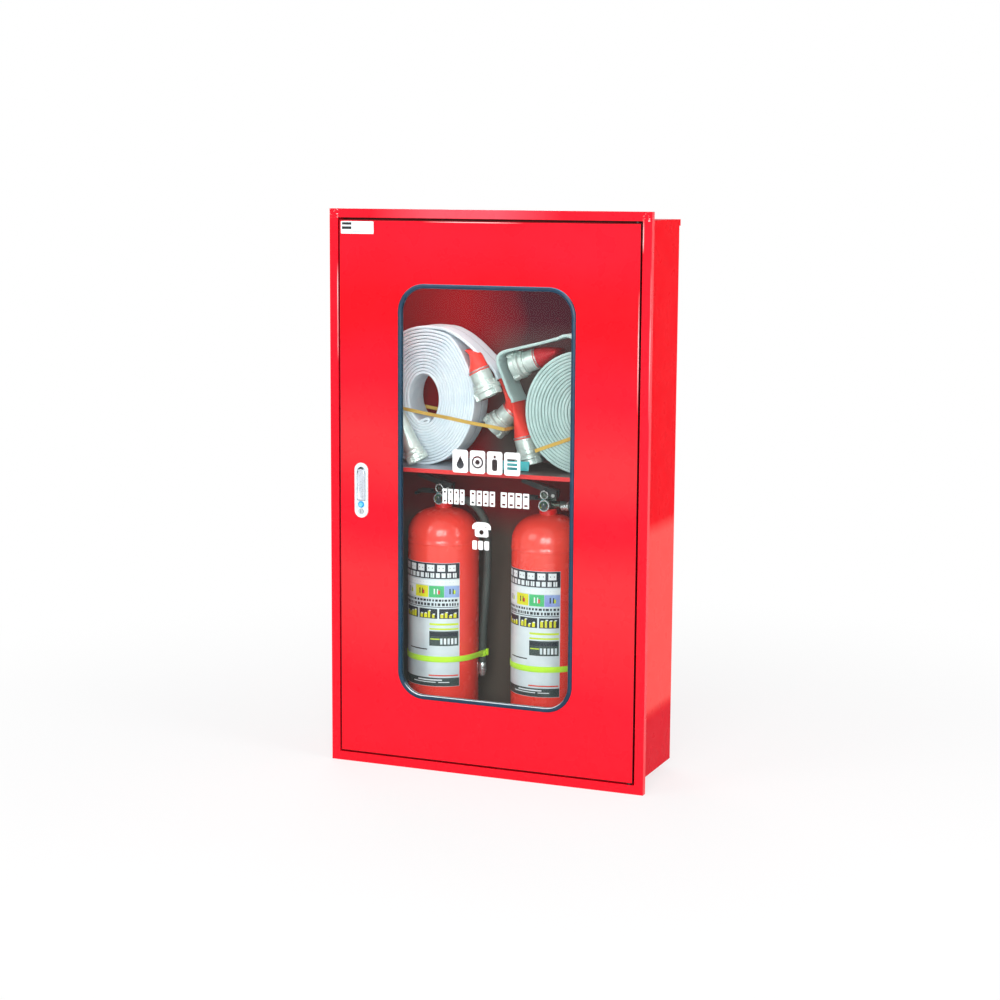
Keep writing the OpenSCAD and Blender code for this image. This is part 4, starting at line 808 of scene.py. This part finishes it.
def labelMesh(seed):  # a printed wrap of plain blocks, bars and squares
    bm = bmesh.new()
    rng = random.Random(seed)
    start, end, tall = label["turnStart"], label["turnEnd"], label["tall"]

    def mark(a0, a1, down0, down1, ink, lift=0.26):  # a curved print: degrees from the front, mm below the label's top
        grid = bmesh.new()
        bmesh.ops.create_grid(grid, x_segments=max(1, int(abs(a1 - a0) / 4)), y_segments=1, size=0.5)
        for v in grid.verts:
            a, r = math.radians(a0 + (a1 - a0) * (v.co.x + 0.5)), (bottle["r"] + lift) * mm
            z = label["top"] - down0 + (down0 - down1) * (0.5 - v.co.y)
            v.co = Vector((r * math.sin(a), -r * math.cos(a), z * mm))
        bmesh.ops.recalc_face_normals(grid, faces=grid.faces)
        if grid.faces[0].normal.dot(grid.faces[0].calc_center_median().xy.to_3d()) < 0:
            bmesh.ops.reverse_faces(grid, faces=grid.faces)
        addPart(bm, grid, slot=ink)

    mark(start, end, 0, tall, foilInk, 0.12)
    mark(start, end - 0.4, 0.6, 29, navy, 0.2)
    for a in (-72 + 17.2 * k for k in range(7)):
        mark(a, a + 12.6, 3.6, 15.5, white, 0.28)
        mark(a + 2.6, a + 10, 8.6, 10.4, navy, 0.34)
    for a in (-60 + 9.0 * k for k in range(12)):
        mark(a, a + 6.2, 18.5, 27, white, 0.28)
    mark(start, end - 0.4, 31.5, 40.5, white, 0.2)
    for a in (-66 + 12.4 * k for k in range(9)):
        mark(a, a + 7.5, 35.2, 36.6, foilInk, 0.28)
    for a, ink in ((-51, white), (-25.6, yellow), (0.4, green), (25.4, blue)):  # squares with a plain figure in each
        mark(a, a + 24.6, 42, 63, ink)
        mark(a + 8, a + 15, 47, 57, navy if ink != green else white, 0.32)
        mark(a + 15, a + 18, 50, 57, red if ink in (yellow, green) else lime, 0.32)
    for top, low in ((66.5, 70.5), (73.5, 78.5)):  # two rows of plain dashes
        a = -66.0
        while a < end - 4:
            wide = rng.uniform(2.2, 5.2)
            mark(a, min(a + wide, end - 2), top, low, navy)
            a += wide + rng.uniform(1.2, 2.6)
    mark(-66, end - 2, 80.2, 81.4, navy)
    for a in (-52.4, -17.3, 17.2):  # three dark panels with yellow shapes
        mark(a, a + 31.6, 84, 102, navy)
        for x in (a + 2 + 7 * k for k in range(4)):
            high = rng.uniform(5, 13)
            mark(x, x + rng.uniform(3.5, 6.0), 100.5 - high, 100.5, yellow, 0.32)
            mark(x + 1.5, x + 5, 99 - high, 101 - high, white, 0.36)
    for a0, a1, top, low, ink, lift in (
            (1.4, end - 2, 110.5, 114.2, lime, 0.26), (1.4, end - 2, 119.5, 122.6, lime, 0.26),
            (1.0, end - 2, 125, 152, slate, 0.26), (2.5, end - 4, 127.5, 134, navy, 0.32),
            (3, 18, 138.5, 140.5, lime, 0.32)):
        mark(a0, a1, top, low, ink, lift)
    for k in range(5):
        mark(19 + 5.8 * k, 19 + 5.8 * k + 3.6, 138, 149, white if k % 2 else foilInk, 0.32)
    for a0, a1, top, low, ink in ((-41, -2.6, 158, 160, navy), (-45, -4, 179.4, 181, navy), (1.5, 20, 179.4, 181, navy),
                                  (0, end - 2, 205.6, 208, red)):
        mark(a0, a1, top, low, ink)
    mark(start, end - 0.4, 211, tall - 0.6, slate, 0.2)
    for top, low, a0, a1 in ((214, 216.2, -20, 22), (218.5, 220, -30, 12), (218.5, 220, 16, 34)):
        mark(a0, a1, top, low, white, 0.28)
    return bm


dial = {"y": -112.05, "z": -19.8, "r": 8.5, "zones": ((-120, -50, red), (-50, 50, green), (50, 120, yellow))}
for side, (axisX, axisY) in spout["axes"].items():
    bm = lathe(outline, 128)
    put(bm, shift(axisX, axisY, bottle["floor"]))
    body = makePiece("bottleShell_" + side, bm, [bottleRed], sharp=50)
    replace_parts(body, "bottle_" + side)
    bm = labelMesh(7 if side == "left" else 8)
    put(bm, shift(axisX, axisY, 0) @ turn(label["turned"][side], "Z"))
    makePiece("bottleLabel_" + side, bm, inks, sharp=50)
    ring = lathe([(14.1, -9.6), (15.2, -9.6), (15.8, -9.0), (15.8, -2.0), (15.2, -1.2), (14.1, -1.2), (14.1, -9.6)], 64)
    put(ring, shift(axisX, axisY, spout["valveZ"]))
    makePiece("neckRing_" + side, ring, [neckRed])
    face = bmesh.new()
    addPart(face, lathe([(0, 0), (dial["r"], 0), (dial["r"], 0.3), (0, 0.3)], 48), slot=slate)
    for start, stop, ink in dial["zones"]:
        step = (stop - start) / 10
        for k in range(10):
            tick = block((1.5, 0.8 + 0.16 * step, 0.12), 0.03, 1)
            addPart(face, tick, turn(90 + start + step * (k + 0.5), "Z") @ shift(6.2, 0, 0.34), ink)
    addPart(face, block((0.6, 6.4, 0.2), 0.05, 1), turn(12, "Z") @ shift(0, 2.0, 0.5), white)
    addPart(face, lathe([(0, 0.3), (1.3, 0.3), (1.3, 0.8), (0.8, 1.0), (0, 1.0)], 24), slot=navy)
    put(face, shift(axisX, dial["y"], dial["z"]) @ turn(90, "X"))
    makePiece("gaugeFace_" + side, face, inks)
    tag = bmesh.new()  # tamper tie through the safety pin's ring
    loop = [Vector((-4 + 4.6 * math.cos(a), -14.5 + 1.2 * math.sin(2 * a), 10.6 + 6.4 * math.sin(a))) * mm
            for a in (2 * math.pi * k / 40 for k in range(40))]
    addPart(tag, sweepRings(tubeRings(loop + loop[:1], 0.55 * mm, 8)))
    addPart(tag, block((4.4, 1.4, 3.4), 0.4), shift(-4, -14.5, 3.6))
    put(tag, shift(axisX, axisY, spout["valveZ"]))
    makePiece("tamperTie_" + side, tag, [tagPlastic])
print("extinguishers made")


# prints on the glass, plate on the door, tag on the shelf
def flatShape(splines, thick, place):  # closed outlines in mm; an outline inside another is a hole
    data = bpy.data.curves.new("outline", "CURVE")
    data.dimensions = "2D"
    data.fill_mode = "BOTH"
    data.extrude = thick / 2 * mm
    for points in splines:
        spline = data.splines.new("POLY")
        spline.points.add(len(points) - 1)
        for point, (x, y) in zip(spline.points, points):
            point.co = (x * mm, y * mm, 0, 1)
        spline.use_cyclic_u = True
    holder = bpy.data.objects.new("outline", data)
    scene.collection.objects.link(holder)
    mesh = bpy.data.meshes.new_from_object(holder.evaluated_get(bpy.context.evaluated_depsgraph_get()))
    bm = bmesh.new()
    bm.from_mesh(mesh)
    bpy.data.objects.remove(holder)
    bmesh.ops.remove_doubles(bm, verts=bm.verts, dist=1e-7)
    put(bm, place @ turn(90, "X"))
    bmesh.ops.recalc_face_normals(bm, faces=bm.faces)
    return bm


def roundBox(x0, x1, z0, z1, r, steps=6):
    corners = ((x1 - r, z1 - r, 0), (x0 + r, z1 - r, 90), (x0 + r, z0 + r, 180), (x1 - r, z0 + r, 270))
    return [(x + r * math.cos(math.radians(a + 90 * k / steps)), z + r * math.sin(math.radians(a + 90 * k / steps)))
            for x, z, a in corners for k in range(steps + 1)]


def circleOf(x, z, r, steps=40):
    angles = [2 * math.pi * k / steps for k in range(steps)]
    return [(x + r * math.cos(a), z + r * math.sin(a)) for a in angles]


def dropOf(x, z, r):  # a plain drop, round below and pointed above
    belly = [(x + r * math.cos(a), z + r * math.sin(a)) for a in (math.radians(d) for d in range(150, 391, 12))]
    return belly + [(x, z + 2.3 * r)]


prints = {"y": -200.16, "thick": 0.12, "panelZ": (43.5, 84), "barZ": (-13, 13.5), "gap": 2.4}
panels = []  # four plain panels, with a drop, a ring, a bottle and three bars cut out
for x0, x1 in ((-61, -31.5), (-28, 1), (4.5, 33.5), (37, 67)):
    panels.append(roundBox(x0, x1, *prints["panelZ"], 4.5))
panels += [dropOf(-46.25, 57.5, 7)] + [circleOf(-13.5, 63.5, r) for r in (11, 8, 4.4)]
panels += [roundBox(14, 24, 50, 70.5, 3.5), roundBox(17, 21, 72, 77, 0.8)]
panels += [roundBox(42.5, 61.5, z, z + 5, 1) for z in (67.5, 60.5, 53.5)]
bars = []
for x0, x1 in ((-80, -38), (-27, 20), (31, 84)):  # three runs of four plain bars
    step = (x1 - x0 + prints["gap"]) / 4
    for x in (x0 + k * step for k in range(4)):
        end = x + step - prints["gap"]
        bars += [roundBox(x, end, *prints["barZ"], 1.2)]
        bars += [roundBox(x + 2.6, end - 2.6, z, z + 3.4, 0.6) for z in (-9.6, 6.2)]
telephone = [(-18, -56.5), (-17.5, -66.5), (-14.5, -68.2), (5, -68.2), (8, -66.5), (7.6, -56.5), (2, -50.5),
             (-12.5, -50.5)]
receiver = [(-23, -54.5), (-22.6, -48), (-19, -43.8), (-12, -41.8), (1.6, -41.8), (8.6, -43.8), (12.2, -48),
            (12.6, -54.5), (4.6, -55), (4.2, -49.8), (-14.6, -49.8), (-15, -55)]
dialHole = circleOf(-5.2, -59.8, 4.2)
blocks = [roundBox(-22.5 + 11.4 * k, -13.5 + 11.4 * k, -91, -75, 2) for k in range(3)]
bm = bmesh.new()
for group in (panels, bars, [telephone, dialHole], [receiver], blocks):
    addPart(bm, flatShape(group, prints["thick"], shift(0, prints["y"], 0)))
makePiece("glassPrints", bm, [decalWhite], "door", sharp=20)

doorPlate = {"y": -200.3, "box": (-277.6, -213.8, 456, 478, 1.6)}
bm = bmesh.new()
addPart(bm, flatShape([roundBox(*doorPlate["box"])], 0.5, shift(0, doorPlate["y"], 0)), slot=0)
for box, thick, slot in (((-275.2, -256.8, 471.6, 475.9, 0.3), 0.12, 1), ((-275.2, -256.8, 464, 468.7, 0.3), 0.12, 1),
                         ((-255, -231, 459.6, 461.0, 0.3), 0.1, 2)):
    addPart(bm, flatShape([roundBox(*box)], thick, shift(0, doorPlate["y"] - 0.3, 0)), slot=slot)
makePiece("doorPlate", bm, [plateWhite, printBlack, plugGrey], "door", sharp=20)

tagBox = {"size": (50, 1.4, 17), "at": (31, -133.5, 43.2), "lean": -14}
bm = block(tagBox["size"], 0.5)
rim = [roundBox(-23, 23, -6.5, 6.5, 1.5), roundBox(-21.6, 21.6, -5.1, 5.1, 1)]
addPart(bm, flatShape(rim, 0.3, shift(0, -0.75, 0)))
place = shift(*tagBox["at"]) @ turn(tagBox["lean"], "X") @ shift(0, 0, 8.6)
put(bm, place)
makePiece("shelfTag", bm, [tagPlastic])
print("prints, plate and tag made")

# handle: plate, lever and button
# plate: half width, half height, thickness; housing: the same, and its floor; hub: radius, z and y;
# button, plug: radius and z from the handle's middle
handle = {"x": -238.5, "z": 1, "front": -200, "plate": (13, 49.5, 2.5), "housing": (10.9, 47.4, 12, 4),
          "gap": 0.8, "rise": 3.6, "button": (5.8, -25.7), "plug": (4.6, -38.1),
          "lever": {"half": 7.5, "low": -17.9, "shoulder": 25, "top": 38.2, "hub": (3.2, 35.1, 1)}}


def leverOutline(grow, rise=0):  # straight sides under a pointed arch; grow widens it and rise lifts the arch, in mm
    v = handle["lever"]
    half, low, top, foot = v["half"] + grow, v["low"] - grow, v["top"] + grow + rise, v["shoulder"] + 1.4 * rise
    arch = [(half * (1 - t * t), foot * (1 - t) ** 2 + 2 * (top - 2) * t * (1 - t) + top * t * t)
            for t in (k / 10 for k in range(10))]
    right = [(half - 1, low), (half, low + 1)] + arch
    return [(handle["x"] + x, handle["z"] + z) for x, z in right + [(0, top)] + [(-x, z) for x, z in right[::-1]]]


def stadium(half, tall):  # a plate outline with half-round ends
    return roundBox(handle["x"] - half, handle["x"] + half, handle["z"] - tall, handle["z"] + tall, half, 16)


plugHole = circleOf(handle["x"], handle["z"] + handle["plug"][1], handle["plug"][0] + 0.2)
holes = [leverOutline(handle["gap"], handle["rise"]),  # room above the lever, whose head swings up as it is pulled
          circleOf(handle["x"], handle["z"] + handle["button"][1], handle["button"][0] + 0.2), plugHole]
half, tall, thick = handle["plate"]
bm = flatShape([stadium(half, tall)] + holes, thick, shift(0, handle["front"] - thick / 2, 0))
half, tall, deep, floorThick = handle["housing"]
addPart(bm, flatShape([stadium(half, tall)] + holes, deep, shift(0, handle["front"] + deep / 2, 0)))
back = shift(0, handle["front"] + deep + floorThick / 2, 0)
addPart(bm, flatShape([stadium(half, tall), plugHole], floorThick, back))
for face in bm.faces:  # the pocket's walls lie in the shade
    middle = face.calc_center_median()
    across, up = abs(middle.x / mm - handle["x"]), middle.z / mm - handle["z"]
    if abs(face.normal.y) < 0.5 and across < 9 and abs(up) < 40:
        face.material_index = 1
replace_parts(makePiece("handlePlate", bm, [handleWhite, pocketGrey], "door", sharp=20), "handle_plate")
rings = [[Vector((x, handle["front"] + y, z)) * mm for x, z in leverOutline(grow)]
         for grow, y in ((-0.6, 1.7), (0, 1.1), (0, -3.4), (-0.5, -4.2), (-1.3, -4.5), (-2.1, -4.4), (-2.7, -3.7))]
bm = sweepRings(rings)
hubR, hubZ, hubY = handle["lever"]["hub"]
hub = lathe([(0, -7.4), (hubR, -7.4), (hubR, 7.4), (0, 7.4)], 32)
addPart(bm, hub, shift(handle["x"], handle["front"] + hubY, handle["z"] + hubZ) @ turn(90, "Y"))
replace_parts(makePiece("pullLever", bm, [leverGrey], "lever", sharp=40), "pull_lever")
r = handle["button"][0]
bm = lathe([(0, -7.3), (r, -7.3), (r, 3.3), (r - 0.4, 4.1), (r - 1.1, 4.5), (r - 2.2, 4.3), (r - 3.2, 3.9), (0, 3.8)],
           40)
for face in bm.faces:  # painted highlight: the dished middle is paler
    middle = face.calc_center_median()
    face.material_index = 1 if middle.z > 3 * mm and middle.xy.length < (r - 1.7) * mm else 0
place = shift(handle["x"], handle["front"], handle["z"] + handle["button"][1]) @ turn(90, "X")
put(bm, place)
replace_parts(makePiece("pushButton", bm, [buttonBlue, buttonHighlight], "button"), "push_button")
print("handle made")

# finishes of the CAD nodes
wear = {boxPaint: ["body_wrap", "top_panel", "bottom_panel"], framePaint: ["face_frame"], paint: ["door_panel"],
        shelfPaint: ["shelf"], bracketPaint: ["shelf_brackets"], blackPlastic: ["magnet_catch"],
        gasketRubber: ["window_gasket"], paneGlass: ["window_glass"], plugGrey: ["key_plug"],
        gapShadeSteel: ["pivot_pins", "pivot_washer", "pivot_plates"], valveChrome: ["valve_left", "valve_right"],
        zincPlate: ["keeper_plate", "lock_clamp", "lock_screws", "lock_cam", "cam_screw", "lever_pin",
                    "squeeze_pivot_left", "squeeze_pivot_right"],
        polishedAlloy: ["gauge_left", "gauge_right", "safety_pin_left", "safety_pin_right"],
        blackEnamel: ["carry_handle_left", "carry_handle_right", "squeeze_lever_left", "squeeze_lever_right"]}
for finish, names in wear.items():
    for name in names:
        mesh = nodes[name].data
        mesh.materials.clear()
        mesh.materials.append(finish)
        mesh.polygons.foreach_set("material_index", [0] * len(mesh.polygons))
print("finishes put on the CAD nodes")

# floor, light and world
studio = {"floor": -0.5, "size": 12, "floorColour": screen(250, 250, 250), "share": 0.72, "shade": (0.5, 1.7),
          "ambient": 0.38, "ambientColour": (0.94, 0.97, 1.0, 1)}
plainWhite = (1, 1, 1, 1)


def seenBy(node):  # 1 for rays from the camera, from gloss and through glass
    path = node("LightPath").outputs
    return calc("MAXIMUM", calc("MAXIMUM", path["Is Camera Ray"], path["Is Glossy Ray"]), path["Is Transmission Ray"])


def whiteWhereSeen(node, join, share, plain, white, output):
    mixed = node("MixShader")
    join(share, mixed.inputs[0])
    join(plain.outputs[0], mixed.inputs[1])
    join(white.outputs[0], mixed.inputs[2])
    join(mixed.outputs[0], output.inputs["Surface"])


bm = bmesh.new()
bmesh.ops.create_grid(bm, x_segments=1, y_segments=1, size=studio["size"])
bmesh.ops.translate(bm, vec=(0, 0, studio["floor"]), verts=bm.verts)
mesh = bpy.data.meshes.new("studioFloor")
bm.to_mesh(mesh)
bm.free()
floor = bpy.data.objects.new("studioFloor", mesh)
scene.collection.objects.link(floor)
floorFinish, shader, node, join = newFinish("paleFloor")
shader.inputs["Base Color"].default_value = studio["floorColour"]
shader.inputs["Roughness"].default_value = 0.9
shader.inputs["Specular IOR Level"].default_value = 0.0
away = node("VectorMath", operation="LENGTH", Vector=node("TexCoord").outputs["Object"]).outputs["Value"]
near, far = studio["shade"]  # the object's shadow fades out between these distances
share = node("MapRange", interpolation_type="SMOOTHSTEP", Value=away,
             **{"From Min": near, "From Max": far, "To Min": studio["share"], "To Max": 1.0}).outputs["Result"]
glow = node("Emission", Color=plainWhite, Strength=1.0)
whiteWhereSeen(node, join, times(seenBy(node), share), shader, glow, floorFinish.node_tree.nodes["Material Output"])
mesh.materials.append(floorFinish)

world = bpy.data.worlds.new("studioWorld")
scene.world = world
world.use_nodes = True
tree = world.node_tree
tree.nodes.clear()
node = nodeMaker(tree)
softSky = node("Background", Color=studio["ambientColour"], Strength=studio["ambient"])
whiteSky = node("Background", Color=plainWhite, Strength=1.0)
whiteWhereSeen(node, tree.links.new, seenBy(node), softSky, whiteSky, node("OutputWorld"))

lamps = {"frontPanel": {"at": (0.9, -3.5, 0.9), "aim": (0, -0.1, 0.0), "size": (2.0, 1.6), "watts": 92},
         "leftPanel": {"at": (-1.9, -2.9, 1.65), "aim": (0, -0.1, 0.05), "size": (1.6, 1.6), "watts": 26},
         "sidePanel": {"at": (3.2, -0.9, 0.9), "aim": (0.3, -0.1, 0.0), "size": (1.4, 2.2), "watts": 51},
         "backPanel": {"at": (-1.8, 2.6, 1.6), "aim": (0, 0, 0.0), "size": (2.0, 2.0), "watts": 40},
         "innerFill": {"at": (0.0, -0.15, 0.470), "aim": (0.0, -0.02, -0.25), "size": (0.46, 0.03), "watts": 0.55}}
for name, lamp in lamps.items():
    data = bpy.data.lights.new(name, "AREA")
    data.shape = "RECTANGLE"
    data.size, data.size_y = lamp["size"]
    data.energy = lamp["watts"]
    holder = bpy.data.objects.new(name, data)
    holder.location = lamp["at"]
    holder.rotation_euler = (Vector(lamp["aim"]) - Vector(lamp["at"])).to_track_quat("-Z", "Y").to_euler()
    scene.collection.objects.link(holder)
print("studio made")
